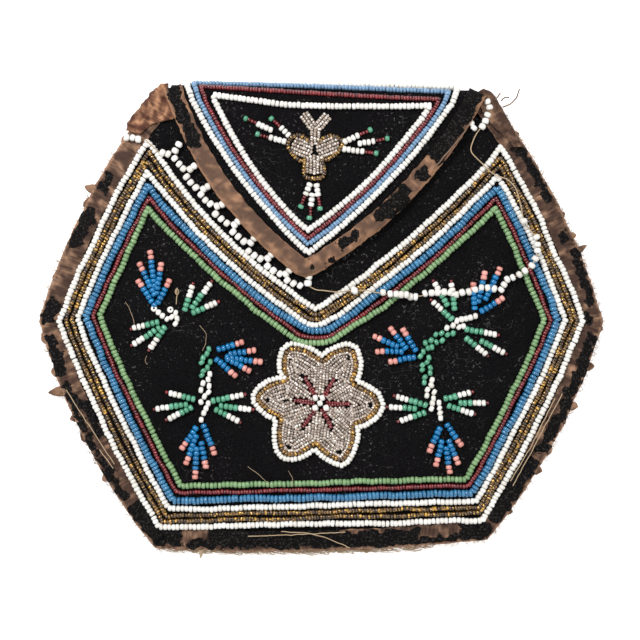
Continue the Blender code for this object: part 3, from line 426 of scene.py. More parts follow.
def glass_finish(name, deep, pale, roughness, metallic=0.0, coat=0.6):
    """Seed bead glass. Each bead has its own tone."""
    paint = Paint(name, roughness=roughness, metallic=metallic, coat_weight=coat, coat_roughness=0.08)
    tone = paint.attribute("tone")
    streak = paint.noise(900.0, 2.0)
    paint.feed("Base Color", paint.mix(deep, pale, tone * 0.75 + streak * 0.25))
    paint.bump(streak, 0.00006, 0.4)
    return paint.material


def glint_finish(name, deep, pale, glint, share):
    """Metal-lined or clear beads, with glints painted into their colour in spots: a painted highlight."""
    paint = Paint(name, roughness=0.22, coat_weight=0.8, coat_roughness=0.05)
    tone = paint.attribute("tone")
    # spark is a painted highlight: glint colour painted into the base colour in spots, with a little more metallic
    # there
    spark = (paint.noise(1500.0, 1.0) + tone * 0.25).past(0.75 - 0.2 * share, 0.79 - 0.2 * share)
    body = paint.mix(deep, pale, tone)
    paint.feed("Base Color", paint.mix(body, glint, spark))
    paint.feed("Metallic", spark * 0.3 + 0.1)
    return paint.material


def thread_finish(name, dark, light):
    paint = Paint(name, roughness=0.75)
    paint.feed("Base Color", paint.mix(dark, light, paint.noise(500.0, 3.0)))
    return paint.material


FINISHES = {
    "velvet": velvet_finish("black_velvet", (0.0055, 0.005, 0.0056), (0.085, 0.08, 0.078)),
    "silk": silk_finish("worn_silk", (0.062, 0.036, 0.027), (0.35, 0.205, 0.13), (0.007, 0.0062, 0.006)),
    "smooth_silk": silk_finish("smooth_worn_silk", (0.105, 0.062, 0.044), (0.36, 0.195, 0.115),
                               (0.007, 0.0062, 0.006), 0.25),
    "bunched_silk": silk_finish("bunched_silk", (0.085, 0.036, 0.025), (0.48, 0.25, 0.14), (0.02, 0.012, 0.01)),
    "lining": woven_finish("tan_lining", (0.25, 0.17, 0.1), (0.45, 0.34, 0.22), 1800.0),
    "card": woven_finish("buff_interlining", (0.3, 0.25, 0.17), (0.42, 0.36, 0.27), 900.0),
    "white": glass_finish("white_glass", (0.66, 0.63, 0.57), (0.88, 0.87, 0.84), 0.3, coat=0.35),
    "blue": glass_finish("blue_glass", (0.012, 0.11, 0.235), (0.045, 0.22, 0.41), 0.16, coat=0.7),
    "bright_blue": glass_finish("bright_blue_glass", (0.0, 0.1, 0.26), (0.0, 0.19, 0.44), 0.2, coat=0.35),
    "sky": glass_finish("sky_blue_glass", (0.1, 0.2, 0.33), (0.21, 0.35, 0.52), 0.35, coat=0.3),
    "red": glass_finish("dark_red_glass", (0.06, 0.009, 0.011), (0.26, 0.026, 0.03), 0.25, coat=0.5),
    "light_green": glass_finish("light_green_glass", (0.12, 0.235, 0.095), (0.25, 0.4, 0.19), 0.4, coat=0.3),
    "jade": glass_finish("jade_glass", (0.045, 0.22, 0.12), (0.11, 0.38, 0.24), 0.3),
    "pink": glass_finish("pink_glass", (0.55, 0.2, 0.16), (0.8, 0.38, 0.33), 0.35, coat=0.3),
    # The third colour of each glint finish is a painted glint, a painted highlight on the beads
    "gold": glint_finish("gold_lined_glass", (0.026, 0.014, 0.006), (0.14, 0.072, 0.022), (0.66, 0.38, 0.07), 0.15),
    "bright_gold": glint_finish("bright_gold_glass", (0.05, 0.023, 0.006), (0.2, 0.095, 0.018),
                                (0.62, 0.34, 0.05), 0.3),
    "crystal": glint_finish("clear_glass", (0.26, 0.2, 0.16), (0.54, 0.44, 0.365), (0.84, 0.78, 0.72), 0.3),
    "dull_crystal": glint_finish("dull_clear_glass", (0.17, 0.13, 0.105), (0.42, 0.34, 0.28), (0.7, 0.63, 0.57), 0.2),
    "thread": thread_finish("linen_thread", (0.3, 0.2, 0.11), (0.55, 0.42, 0.27)),
    "brown_thread": thread_finish("silk_thread", (0.07, 0.04, 0.028), (0.26, 0.16, 0.1)),
}


# Turning plans into pieces

def placed(name, data):
    piece = bpy.data.objects.new(name, data)
    bpy.context.scene.collection.objects.link(piece)
    return piece


def dress(piece, finishes, node, replaces):
    """Every piece gets its finishes and hangs on the bag's root; the node's own part is hidden only where the piece
    replaces it.
    """
    for finish in finishes:
        piece.data.materials.append(FINISHES[finish])
    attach(piece, "root")
    if replaces:
        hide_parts(node)
    return piece


def mesh_of(bm, name):
    mesh = bpy.data.meshes.new(name)
    bm.to_mesh(mesh)
    bm.free()
    return mesh


def finished(name, bm, finishes, node, replaces=True):
    """The mesh of a piece, moved to the frame and hung on the bag's body."""
    bmesh.ops.translate(bm, vec=(*FRAME_SHIFT, 0.0), verts=bm.verts)
    bmesh.ops.scale(bm, vec=(MM, MM, MM), verts=bm.verts)
    mesh = mesh_of(bm, name)
    mesh.shade_smooth()
    return dress(placed(name, mesh), finishes, node, replaces)


def solidify(piece, thickness):
    wall = piece.modifiers.new("thickness", "SOLIDIFY")
    wall.thickness = thickness * MM
    wall.offset = -1.0
    return piece


def cut_on_grid(bm, cell, low, high, axis):
    for k in range(ceil(low / cell), math.floor(high / cell) + 1):
        co, normal = [0.0, 0.0, 0.0], [0.0, 0.0, 0.0]
        co[axis], normal[axis] = k * cell, 1.0
        geometry = bm.verts[:] + bm.edges[:] + bm.faces[:]
        bmesh.ops.bisect_plane(bm, geom=geometry, dist=0.01, plane_co=co, plane_no=normal)


def flat_cut(outline):
    """A face of the given outline, facing up."""
    bm = bmesh.new()
    face = bm.faces.new([bm.verts.new((x, y, 0.0)) for x, y in outline])
    face.normal_update()
    if face.normal.z < 0.0:
        face.normal_flip()
    return bm


def area_of(outline):
    return abs(sum(a[0] * b[1] - b[0] * a[1] for a, b in zip(outline, outline[1:] + outline[:1]))) / 2


def cloth(node, outline, height, thickness, finish, cell=CLOTH_CELL, crumple=0.0):
    """A layer of cloth cut to an outline and laid over a height, with slight puckers."""
    bm = flat_cut(outline)
    xs, ys = [x for x, y in outline], [y for x, y in outline]
    cut_on_grid(bm, cell, min(xs), max(xs), 0)
    cut_on_grid(bm, cell, min(ys), max(ys), 1)
    bmesh.ops.triangulate(bm, faces=[face for face in bm.faces if len(face.verts) > 4])
    for vert in bm.verts:
        x, y = vert.co.x, vert.co.y
        pucker = noise.noise(Vector((x, y, 0.0)) / 9.0) * crumple
        vert.co.z = height(x, y) + pucker
    piece = finished(node + "_cloth", bm, [finish], node)
    solidify(piece, thickness)
    flat = ((max(xs) - min(xs)) * MM, (max(ys) - min(ys)) * MM)
    area_of(outline) * MM * MM


# Cloth and ribbon

def build_panels():
    front = panel_outline(MOUTH_DROP + GAP + RIBBON)
    inner = panel_outline(MOUTH_DROP + GAP)
    back = panel_outline(SEAM_DROP + GAP)
    cloth("back_velvet", back, back_height(VELVET), VELVET, "velvet")
    cloth("back_interlining", inner, back_height(BACK_INTERLINING_TOP), INTERLINING, "card", cell=4.0)
    cloth("back_lining", inner, back_height(BACK_LINING_TOP), LINING, "lining", cell=4.0)
    cloth("front_lining", front, front_height(FRONT_LINING_TOP), LINING, "lining", cell=4.0)
    cloth("front_interlining", front, front_height(FRONT_INTERLINING_TOP), INTERLINING, "card", cell=4.0)
    cloth("front_velvet", front, front_surface, VELVET, "velvet", crumple=0.12)


def build_flap():
    """Velvet that runs down the front, round the fold and to a seam on the back."""
    # Down the flap the flat piece counts in units of 12 mm, and from the fold's start as flap_point does
    unit = 12.0
    sides = inset(flap_sides(), -(GAP + RIBBON), closed=False)
    outline = [(x, (y - fold_start(x)) / unit) for x, y in sides]
    left, right = sides[0][0], sides[-1][0]
    outline[0], outline[-1] = (left, 0.0), (right, 0.0)
    tuck = SEAM_TUCK / 2
    outline += [(right - tuck, 1.0), (right - 2 * tuck, 2.0), (left + 2 * tuck, 2.0), (left + tuck, 1.0)]
    bm = flat_cut(outline)
    cut_on_grid(bm, CLOTH_CELL, left, right, 0)
    cut_on_grid(bm, 0.2, -FLAP_LENGTH / unit, -0.1, 1)
    cut_on_grid(bm, 0.1, 0.0, 2.0, 1)
    bmesh.ops.triangulate(bm, faces=[face for face in bm.faces if len(face.verts) > 4])
    for vert in bm.verts:
        v = vert.co.y if vert.co.y > 0.0 else vert.co.y * unit
        vert.co = Vector(flap_point(vert.co.x, v))
    piece = solidify(finished("flap_velvet_cloth", bm, ["velvet"], "flap_velvet"), VELVET)
    width, length = right - left, FLAP_LENGTH + 14.0
    width * MM
    length * MM
    width * (length / 2 + 8.0) * MM * MM
    for node, margin, top, thickness, finish in (
            ("flap_interlining", 2 * RIBBON + 2 * GAP, FLAP_INTERLINING_TOP, INTERLINING, "card"),
            ("flap_lining", RIBBON + GAP, FLAP_LINING_TOP, LINING, "lining")):
        level = fold_line(MOUTH_SHIFT) - FOLD_ROOM - GAP
        outline = cut_off(inset(flap_sides(), -margin, closed=False), lambda place: place[1] - level, 1.0)
        cloth(node, outline, flap_height(top), thickness, finish, cell=4.0)


def worn_grid(columns, rows, place):
    """A grid of silk. From the share along each side, place gives a corner's place, its
    place on the flat silk, how bare it is, and how pale it is, from wear and painted light on its folds."""
    bm = bmesh.new()
    bmesh.ops.create_grid(bm, x_segments=columns, y_segments=rows, size=1.0)
    uv = bm.loops.layers.uv.new("UVMap")
    bare = bm.verts.layers.float.new("bare")
    wear_and_fold_light = bm.verts.layers.float.new("wear_and_fold_light")
    flat = {}
    for vert in bm.verts:
        vert.co, flat[vert], vert[bare], vert[wear_and_fold_light] = place((vert.co.x + 1.0) / 2.0, (vert.co.y + 1.0) / 2.0)
    for face in bm.faces:
        for loop in face.loops:
            loop[uv].uv = flat[loop.vert]
    bm.normal_update()
    return bm


def ribbon(node, path, width, low, high, patches, rests_on, finish="silk", wobble=0.3, ease=0.0, edge_wave=0.4):
    """Silk ribbon folded round an edge. Patches are places along the path where the
    silk is gone: start and end in millimetres, and from and to across the top face."""
    under = ((1.0, 0), (0.55, 0), (0.16, 0))
    over = tuple((share, 3) for share in (0.16, 0.26, 0.36, 0.46, 0.56, 0.66, 0.76, 0.86, 0.95, 1.0))
    profile = under + ((0.0, 1), (0.0, 2)) + over
    distances = [0.0]
    for a, b in zip(path, path[1:]):
        distances.append(distances[-1] + dist(a, b))
    line = inset(path, -1.0, closed=False)
    rows = []
    for share, stage in profile:
        row = []
        for k, ((x, y), (nx, ny)) in enumerate(zip(path, line)):
            s = distances[k]
            reach = width * share
            if stage == 3:
                reach += share * edge_wave * ripple(s / 3.0, 7.0, share)
            fray = ripple(s / 8.0, 3.0, 0.0) + 0.8 * ripple(s / 1.3, 9.0, 0.0)
            out = wobble * fray * (1.0 - share)
            px, py = x + (nx - x) * (reach - out), y + (ny - y) * (reach - out)
            floor, roof = low(px, py), high(px, py)
            fold = ripple(s / 2.6, share * 2.0, 1.0) + 0.6 * ripple(s / 1.1, share * 4.0, 5.0)
            z = (floor, floor + RIBBON_ROUND, roof - RIBBON_ROUND, roof + max(ease * fold, -GAP * 0.6))[stage]
            row.append((px, py, z, s, share, fold))
        rows.append(row)
    across, along = len(profile) - 1, len(path) - 1

    def place(u, v):
        i = round(u * across)
        x, y, z, s, share, fold = rows[i][round(v * along)]
        top = profile[i][1] >= 2
        bare = max([patch_depth(s, share if top else -1.0, patch) for patch in patches] + [0.0])
        # The last value is painted light: pale on fold ridges and the rolled edge (painted highlight, partly wear
        # there), dark in fold hollows (painted shade).
        edge = 1.0 if share < 0.1 else 0.3 if share == 1.0 else 0.0
        return (x, y, z), (s * MM, share * width * MM), bare, min(max(0.1 + fold * 0.9 + edge, 0.0), 1.0)

    bm = worn_grid(across, along, place)
    lowest = min(bm.faces, key=lambda face: face.calc_center_median().z)
    if lowest.normal.z > 0.0:
        bmesh.ops.reverse_faces(bm, faces=bm.faces[:])
    piece = solidify(finished(node + "_silk", bm, [finish], node), RIBBON)


def patch_depth(s, share, patch):
    """1 well inside a bare patch, 0.5 on its edge and 0 outside."""
    start, end, near, far = patch
    inside = min(s - start, end - s, (share - near) * 5.0, (far - share) * 5.0)
    return min(max(0.5 + inside * 0.3, 0.0), 1.0)


# Bare places of the bag's binding, by distance down from the left end of the fold
EDGE_PATCHES = (
    (30.5, 37, 0.12, 0.62), (43, 56, 0.08, 0.74), (73, 82, 0.08, 0.8), (86, 99, 0.06, 0.55), (101, 125, 0.08, 0.48),
    (108, 121, 0.6, 1.1), (126, 141, 0.08, 0.5), (143, 166, 0.1, 1.2), (174, 214, 0.14, 1.2), (168, 176, 0.08, 0.5),
    (212, 238, 0.1, 0.9), (236, 250, 0.1, 0.42), (250, 262, 0.1, 1.2), (264, 287, 0.1, 1.2), (289, 303, 0.08, 0.62),
    (303, 329, 0.05, 0.6), (331, 338, 0.5, 1.2), (339, 358, 0.08, 0.5), (360, 364, 0.2, 0.6), (373, 393, 0.08, 0.55),
    (399, 402, 0.1, 0.7),
)
FLAP_PATCHES = (
    (-6, 20.5, 0.12, 0.85), (74.5, 75.6, 0.3, 1), (86, 93, 0.3, 0.8), (79, 83, 0.1, 0.3), (100, 114, 0.25, 0.9),
    (103, 112, 0, 0.3), (117.5, 122, 0.2, 0.8), (125, 170, 0.12, 1.2),
)


def over_fold(x, y):
    """Height of the ribbon on the flap, which follows the fold's round at the top."""
    past = y - fold_start(x)
    if past <= 0.0:
        return flap_height(FLAP_TOP + GAP + RIBBON)(x, y)
    radius = fold_radius(x)
    out = radius + GAP + RIBBON
    return radius + out * math.sqrt(max(1.0 - (past / out) ** 2, 0.04))


def build_bindings():
    edge_top = front_height(FRONT_TOP + GAP + RIBBON)
    ribbon("edge_binding", bag_path(GAP, 0.9), 6.2, lambda x, y: 0.0, edge_top, EDGE_PATCHES,
           "front_velvet_cloth", wobble=0.42, ease=0.4)
    path = flap_sides(0.9)
    path = [shifted(path[0], path[1], path[0], d) for d in (2.6, 2.0, 1.4, 0.7)] + path
    path += [shifted(path[-1], path[-2], path[-1], d) for d in (0.7, 1.4, 2.0, 2.6)]
    ribbon("flap_binding", path, 5.4, lambda x, y: min(flap_height(FRONT_TOP + GAP)(x, y), over_fold(x, y) - 1.2),
           over_fold, FLAP_PATCHES, "flap_velvet_cloth", "smooth_silk", wobble=0.4, ease=0.3)
    outline = panel_outline(MOUTH_DROP)
    left = shifted(outline[0], outline[0], outline[-1], 17.5)
    right = shifted(outline[-1], outline[-1], outline[0], 17.5)
    path = [lerp(right, left, k / 40) for k in range(41)]
    low = front_height(FRONT_LINING_TOP - LINING - GAP - RIBBON)
    ribbon("mouth_binding", path, 4.0, low, front_height(FRONT_TOP + GAP + RIBBON), (),
           "front_lining_cloth", wobble=0.0)


# Beads

def bead_form(steps, profile):
    """A bead of unit size that lies along X, with its bore."""
    bm = bmesh.new()
    verts = [bm.verts.new((x, 0.0, r)) for x, r in profile]
    edges = [bm.edges.new((verts[i - 1], verts[i])) for i in range(len(verts))]
    bmesh.ops.spin(bm, geom=verts + edges, cent=(0, 0, 0), axis=(1, 0, 0), angle=tau, steps=steps,
                   use_merge=True)
    bmesh.ops.recalc_face_normals(bm, faces=bm.faces[:])
    return mesh_of(bm, "bead_form")


ROUND_BEAD = bead_form(9, ((-0.46, 0.17), (-0.47, 0.3), (-0.32, 0.455), (0.0, 0.5), (0.32, 0.455),
                           (0.47, 0.3), (0.46, 0.17)))
SMALL_BEAD = bead_form(6, ((-0.47, 0.16), (-0.42, 0.4), (0.0, 0.5), (0.42, 0.4), (0.47, 0.16)))
# Share of its own length that each bead takes up in a row
PACKING = 0.93
# finish: width, length along the thread
SIZES = {
    "white": (1.95, 1.36), "blue": (2.35, 1.26), "bright_blue": (2.05, 1.42), "sky": (1.65, 1.1),
    "red": (1.45, 0.92), "light_green": (1.95, 1.3), "jade": (2.0, 1.45), "pink": (1.95, 1.45),
    "gold": (1.42, 0.92), "crystal": (1.1, 0.85), "dull_crystal": (1.1, 0.85),
}


def bead(place, direction, finish, size=None):
    width, length = size or SIZES[finish]
    return (Vector(place), Vector(direction), width, length, finish)


def string_of(beads, node, name=None, replaces=True):
    """One piece from its beads, each a little out of line with the next."""
    finishes = sorted({entry[4] for entry in beads})
    bm = bmesh.new()
    tone = bm.verts.layers.float.new("tone")
    for place, direction, width, length, finish in beads:
        form = (SMALL_BEAD if width < 1.4 else ROUND_BEAD).copy()
        size = random.gauss(1.0, 0.03)
        turn = direction.to_track_quat("X", "Z").to_matrix().to_4x4()
        tilt = Matrix.Rotation(random.gauss(0.0, 0.09), 4, "Z")
        nod = Matrix.Rotation(random.gauss(0.0, 0.09), 4, "Y")
        spun = Matrix.Rotation(random.uniform(0.0, tau), 4, "X")
        scale = Matrix.Diagonal((length * random.gauss(0.98, 0.05), width * size, width * size, 1.0))
        off = Vector([random.gauss(0.0, 0.045) for _ in range(3)])
        form.transform(Matrix.Translation(place + off) @ turn @ tilt @ nod @ spun @ scale)
        start = len(bm.verts)
        first_face = len(bm.faces)
        bm.from_mesh(form)
        bpy.data.meshes.remove(form)
        bm.verts.ensure_lookup_table()
        bm.faces.ensure_lookup_table()
        own = min(max(random.gauss(0.5, 0.24), 0.0), 1.0)
        for vert in bm.verts[start:]:
            vert[tone] = own
        for face in bm.faces[first_face:]:
            face.material_index = finishes.index(finish)
    return finished(name or node + "_beads", bm, finishes, node, replaces)


def even(points, pitch, closed=False):
    """Places a pitch apart along a chain, each with its direction of travel."""
    chain = [Vector(p) for p in points]
    if closed:
        chain.append(chain[0])
    lengths = [max((b - a).length, 1e-9) for a, b in zip(chain, chain[1:])]
    total = sum(lengths)
    count = max(1, round(total / pitch))
    places, i, passed = [], 0, 0.0
    for k in range(count if closed else count + 1):
        goal = min(total * k / count, total - 1e-6)
        while passed + lengths[i] < goal:
            passed += lengths[i]
            i += 1
        a, b = chain[i], chain[i + 1]
        places.append((a.lerp(b, (goal - passed) / lengths[i]), (b - a).normalized()))
    return places


def laid_beads(points, finish, height, closed=False, size=None, sink=0.42):
    """Beads in a row on a surface, pushed together."""
    width, length = size or SIZES[finish]
    raised = [(x, y, height(x, y) + width * sink) for x, y in points]
    return [bead(place, way, finish, size) for place, way in even(raised, length * PACKING, closed)]


def wavering(points, amount, reach, seed):
    """A line sewn by hand: it strays a little from side to side."""
    moved = []
    for x, y in points:
        dx = ripple(x / reach, y / reach, seed) * amount
        dy = ripple(x / reach, y / reach, seed + 50.0) * amount
        moved.append((x + dx, y + dy))
    return moved


def outer_row_corners():
    tip = fold_line(MOUTH_SHIFT) - FLAP_LENGTH
    return [
        (FOLD_LEFT[0] - SHOULDER_OUT, FOLD_LEFT[1] - SHOULDER_DROP),
        (WAIST_LEFT[0] + WAIST_INSET, WAIST_LEFT[1]),
        (BASE_LEFT[0] + BASE_TUCK, BASE_LEFT[1] + BASE_INSET),
        (BASE_RIGHT[0] - BASE_TUCK, BASE_RIGHT[1] + BASE_INSET),
        (WAIST_RIGHT[0] - WAIST_INSET, WAIST_RIGHT[1]),
        (FOLD_RIGHT[0] + SHOULDER_OUT, FOLD_RIGHT[1] - SHOULDER_DROP),
        (FLAP_POINT_SHIFT + VALLEY_SHIFT, tip - VALLEY_DROP),
    ]


def front_row_points(distance, step):
    """A row's course round the front, further in along the left and the base."""
    spreads = (1.0, 1.12, 1.15, 1.0, 1.0, 1.0, 1.0)
    bows = (-ROW_BOW, -ROW_BOW, 0.0, -ROW_BOW, -ROW_BOW, VALLEY_BOW_RIGHT, VALLEY_BOW_LEFT)
    corners = outer_row_corners()
    outer = [(corners[i], corners[(i + 1) % len(corners)], bow) for i, bow in enumerate(bows)]
    moved = parallel_sides(outer, [distance * s for s in spreads])
    points = []
    for i, (a, b, bow) in enumerate(moved):
        points += bowed(a, b, bow, ceil(dist(a, b) / step))
        following = moved[(i + 1) % len(moved)][0]
        if dist(b, following) > 0.3:
            corner = outer[i][1]
            turn = atan2(b[1] - corner[1], b[0] - corner[0])
            end = atan2(following[1] - corner[1], following[0] - corner[0])
            sweep = (end - turn + pi) % tau - pi
            for t in (0.0, 0.2, 0.4, 0.6, 0.8):
                reach = distance * (1.0 - 0.06 * sin(pi * t))
                points.append((corner[0] + reach * cos(turn + sweep * t),
                               corner[1] + reach * sin(turn + sweep * t)))
    return points


# node, finish, distance inside the outer row
FRONT_ROWS = (
    ("front_row_outer_white", "white", 0.0), ("front_row_gold_outer", "gold", 1.75),
    ("front_row_gold_inner", "gold", 3.2), ("front_row_inner_white", "white", 4.95),
    ("front_row_blue", "blue", 7.05), ("front_row_red", "red", 9.0), ("front_row_green", "light_green", 10.8),
)
FLAP_ROW_SHIFT, FLAP_ROW_BOW = 0.6, 2.5
# node, finish, turn of the top leg round the fold, half width, the point's height above the flap's
FLAP_ROWS = (
    ("flap_row_outer_white", "white", 0.62, 40.5, 7.4), ("flap_row_sky_blue", "sky", 0.44, 38.1, 9.7),
    ("flap_row_red", "red", 0.28, 36.0, 11.7), ("flap_row_inner_white", "white", 0.1, 32.9, 13.9),
)


def build_rows():
    for k, (node, finish, distance) in enumerate(FRONT_ROWS):
        points = wavering(front_row_points(distance, 1.0), 0.5, 14.0, k * 1.5)
        points = wavering(points, 0.3, 4.0, k * 3.0)
        string_of(laid_beads(points, finish, front_surface, closed=True), node)
    tip = fold_line(MOUTH_SHIFT) - FLAP_LENGTH
    for node, finish, turn, half, rise in FLAP_ROWS:
        left = MOUTH_SHIFT - FLAP_ROW_SHIFT - half + 0.7 + 1.5 * turn
        right = MOUTH_SHIFT - FLAP_ROW_SHIFT + half - 7.0 * min(turn, 0.25)
        fallen = turn - 0.18 if turn > 0.18 else -0.2
        point = (FLAP_POINT_SHIFT + FLAP_ROW_SHIFT, tip + rise)
        width, length = SIZES[finish]
        down = bowed((left, fold_start(left)), point, -FLAP_ROW_BOW, 30)
        up = bowed(point, (right, fold_start(right)), -FLAP_ROW_BOW, 30)
        edge = wavering(down + up + [(right, fold_start(right))], 0.35, 12.0, half)
        chain = [(x, min(y - fold_start(x), 0.0)) for x, y in edge]
        turns = [(turn * i / 5, 2.0 * sin(pi * turn * i / 5)) for i in range(1, 6)]
        steps = [(fallen * i / 5, 2.0 * sin(pi * max(fallen, 0.0) * i / 5)) for i in range(1, 6)]
        chain += [(right + lean, v) for v, lean in steps]
        chain += [lerp((right + steps[-1][1], fallen), (left - turns[-1][1], turn), i / 30) for i in range(1, 30)]
        chain += [(left - lean, v) for v, lean in reversed(turns)]
        raised = [flap_point(x, v, width * 0.42) for x, v in chain]
        beads = [bead(place, way, finish) for place, way in even(raised, length * PACKING, True)]
        string_of(beads, node)


# Motifs, each finger from its root bead to its tip bead
BLUE_FANS = {
    "left_top_blue_fan": (
        (-50.2, 3.9, -54.7, 10.6), (-50, 6.9, -54.3, 15.6), (-49.9, 9.2, -51.2, 19.2), (-49.2, 7.1, -47.8, 15.6),
        (-48.9, 3.9, -45.4, 10.6),
    ),
    "left_side_blue_fan": (
        (-31.2, -10.1, -23.7, -7.7), (-27.5, -11.3, -20.1, -10.1), (-27.7, -12.3, -18.2, -13.6),
        (-28.6, -12.4, -21.5, -16.2), (-31.8, -12.3, -25.8, -17.6),
    ),
    "left_low_blue_fan": (
        (-37.1, -32.8, -41.5, -39.4), (-37.6, -36.3, -40.4, -43.9), (-37.3, -39.7, -37.8, -48.2),
        (-35.8, -37.7, -34.6, -45.1), (-35.1, -32.8, -32, -40.8),
    ),
    "right_top_blue_fan": ((46, 2.1, 45.6, 9.7), (47, 4.1, 49, 13), (48.9, 4.5, 53.6, 14.3), (48.1, 1.6, 54.3, 5.4)),
    "right_side_blue_fan": (
        (22.7, -8.9, 16.2, -6), (25.8, -10.1, 20.9, -3.7), (28.4, -10.3, 24.6, -3.9), (24.5, -10.4, 16.9, -10.4),
        (28.1, -12.1, 20.8, -13.5),
    ),
    "right_low_blue_fan": (
        (35.8, -32.9, 32.6, -40.1), (36.3, -36.7, 34.6, -44.4), (37.5, -39, 38.6, -46.6), (38, -36.5, 41.1, -43.9),
        (37.6, -32.2, 41.9, -38.4),
    ),
}
LEAF_FANS = {
    "left_top_leaf_fan": ((-40.9, 1.5, -38.3, 9.9), (-38.5, 2.7, -32.7, 10.5), (-38.9, 0.8, -30.6, 4.5)),
    "left_top_lower_leaf_fan": ((-48.2, -1.5, -57, -3.7), (-48.9, -3.7, -56.8, -8.7), (-46.6, -3, -51.5, -10.1)),
    "left_outer_leaf_fan": ((-38.2, -24.7, -46.2, -22.7), (-39.7, -26.2, -50, -27.8), (-38.3, -27, -46.3, -31)),
    "left_inner_leaf_fan": ((-32.1, -25.2, -22.7, -23.3), (-29.6, -26.8, -20.3, -27.9), (-32, -27.6, -24.1, -31.6)),
    "right_top_leaf_fan": ((38.8, -0.5, 33, 4.9), (38, 3, 33.6, 10.6), (40, 1.5, 39, 10.5)),
    "right_lower_leaf_fan": ((44.2, -4, 53.2, -5.5), (47.6, -7.1, 55.4, -11.2), (43.3, -6.3, 50, -11.8)),
    "right_inner_leaf_fan": ((30.9, -26.4, 21.9, -23.7), (28.4, -27.5, 19.8, -27.1), (30.9, -28.8, 23.1, -31.5)),
    "right_outer_leaf_fan": ((37.1, -24.7, 45.3, -22.6), (41, -25.9, 49.9, -25.9), (38, -26.7, 46.1, -29.3)),
}
FLAP_FANS = {
    "flap_left_fan": ((-9.6, 54.1, -14.8, 59.1), (-14.4, 55.5, -22.5, 59.2), (-10.9, 52.2, -19, 54.4)),
    "flap_right_fan": ((7.2, 52.2, 14.7, 55.7), (11.5, 51.6, 19.8, 53.1), (7.3, 49.9, 16.5, 48.7)),
    "flap_low_fan": ((-3.3, 39.5, -6.1, 32.8), (-2.6, 36.3, -3.4, 29.3), (-1.2, 39, -0.3, 32.2)),
}
STEMS = {
    "left_branch": {"white": (
        (-50, 2.3), (-48.6, 1.2), (-47.4, 0.2), (-46, -0.7), (-44.7, -0.2), (-45.1, 2), (-43.5, 1), (-43, -0.6),
        (-43.5, -2.1),
    )},
    "left_green_stem": {"jade": (
        (-33.5, -9.7), (-34.1, -11.1), (-35.3, -12.3), (-35.7, -13.8), (-33.2, -13.6), (-33.9, -15.2),
        (-35.1, -16.2), (-35.7, -17.6),
    )},
    "left_white_stem": {"white": (
        (-33.3, -17.2), (-33.8, -18.8), (-35.3, -20), (-33.5, -20.9), (-35.9, -22), (-33.6, -22.6), (-34.8, -23.9),
        (-35.9, -25.5), (-33.7, -26.1), (-34.4, -27.6), (-35.1, -28.9), (-35.8, -30.9),
    )},
    "right_branch": {"white": (
        (46.2, 0.1), (44.8, -0.3), (43.4, -0.6), (42.1, -0.8), (40.7, -1.3), (42.7, -2.9), (41.2, -3.2),
        (39.5, -2.7), (37.7, -3.4),
    ), "jade": (
        (39.6, -5.1), (37.9, -5.5), (36.1, -5), (34.4, -5.4),
    )},
    "right_green_stem": {"jade": (
        (36.3, -7.2), (34.6, -7.6), (33, -7.2), (31.2, -7.9), (33.2, -9.2), (32, -9.4), (30.6, -10.5), (29.7, -11.9),
        (32.3, -12.3), (31.7, -13.6), (30.4, -14.6), (32.7, -15.3), (30.4, -15.9), (32.6, -16.9), (31.1, -18.2),
        (30.9, -19.7),
    )},
    "right_white_stem": {"white": (
        (33.3, -19), (33, -20.5), (31.9, -21.9), (33.9, -22.7), (31.7, -23.7), (33.7, -24.5), (33.3, -26),
        (35.2, -25.8), (33, -27.6), (35.5, -27.4), (35.7, -28.9), (35.8, -30.4),
    )},
}
FACING_UP = ((-50, 2.3), (-45.1, 2))
TINY, STEM_BEAD, GREEN_TIP = (1.15, 0.95), (1.95, 1.5), (1.8, 1.4)


def finger(root, tip, colours, height, sink=0.45):
    """Beads from root to tip. The colours run from the tip inwards, and the last one
    fills what is left."""
    length = dist(root, tip)
    way = Vector((tip[0] - root[0], tip[1] - root[1], 0.0)) / length
    beads, along = [], length
    for k in range(20):
        finish, size = colours[min(k, len(colours) - 1)]
        width, long = size or SIZES[finish]
        if along < -long * 0.35:
            break
        x, y = root[0] + way.x * along, root[1] + way.y * along
        beads.append(bead((x, y, height(x, y) + width * sink), way, finish, size))
        following, next_size = colours[min(k + 1, len(colours) - 1)]
        along -= (long + (next_size or SIZES[following])[1]) / 2
    return beads


def build_sprays():
    blue = [("pink", None), ("pink", None), ("bright_blue", None)]
    leaf = [("red", TINY), ("white", None), ("white", None), ("white", None), ("jade", None)]
    flower = [("jade", GREEN_TIP), ("red", TINY), ("red", TINY), ("red", TINY), ("white", None)]
    for fans, colours, height in ((BLUE_FANS, blue, front_surface), (LEAF_FANS, leaf, front_surface),
                                  (FLAP_FANS, flower, flap_surface)):
        for node, fingers in fans.items():
            beads = []
            for x, y, tip_x, tip_y in fingers:
                beads += finger((x, y), (tip_x, tip_y), colours, height)
            string_of(beads, node)
    for node, strings in STEMS.items():
        beads = []
        for finish, places in strings.items():
            for x, y in places:
                turn = random.uniform(-0.9, 0.4)
                way = (0.1, 0.15, 1.0) if (x, y) in FACING_UP else (cos(turn), sin(turn), 0.0)
                beads.append(bead((x, y, front_surface(x, y) + 0.9), way, finish, STEM_BEAD))
        string_of(beads, node)


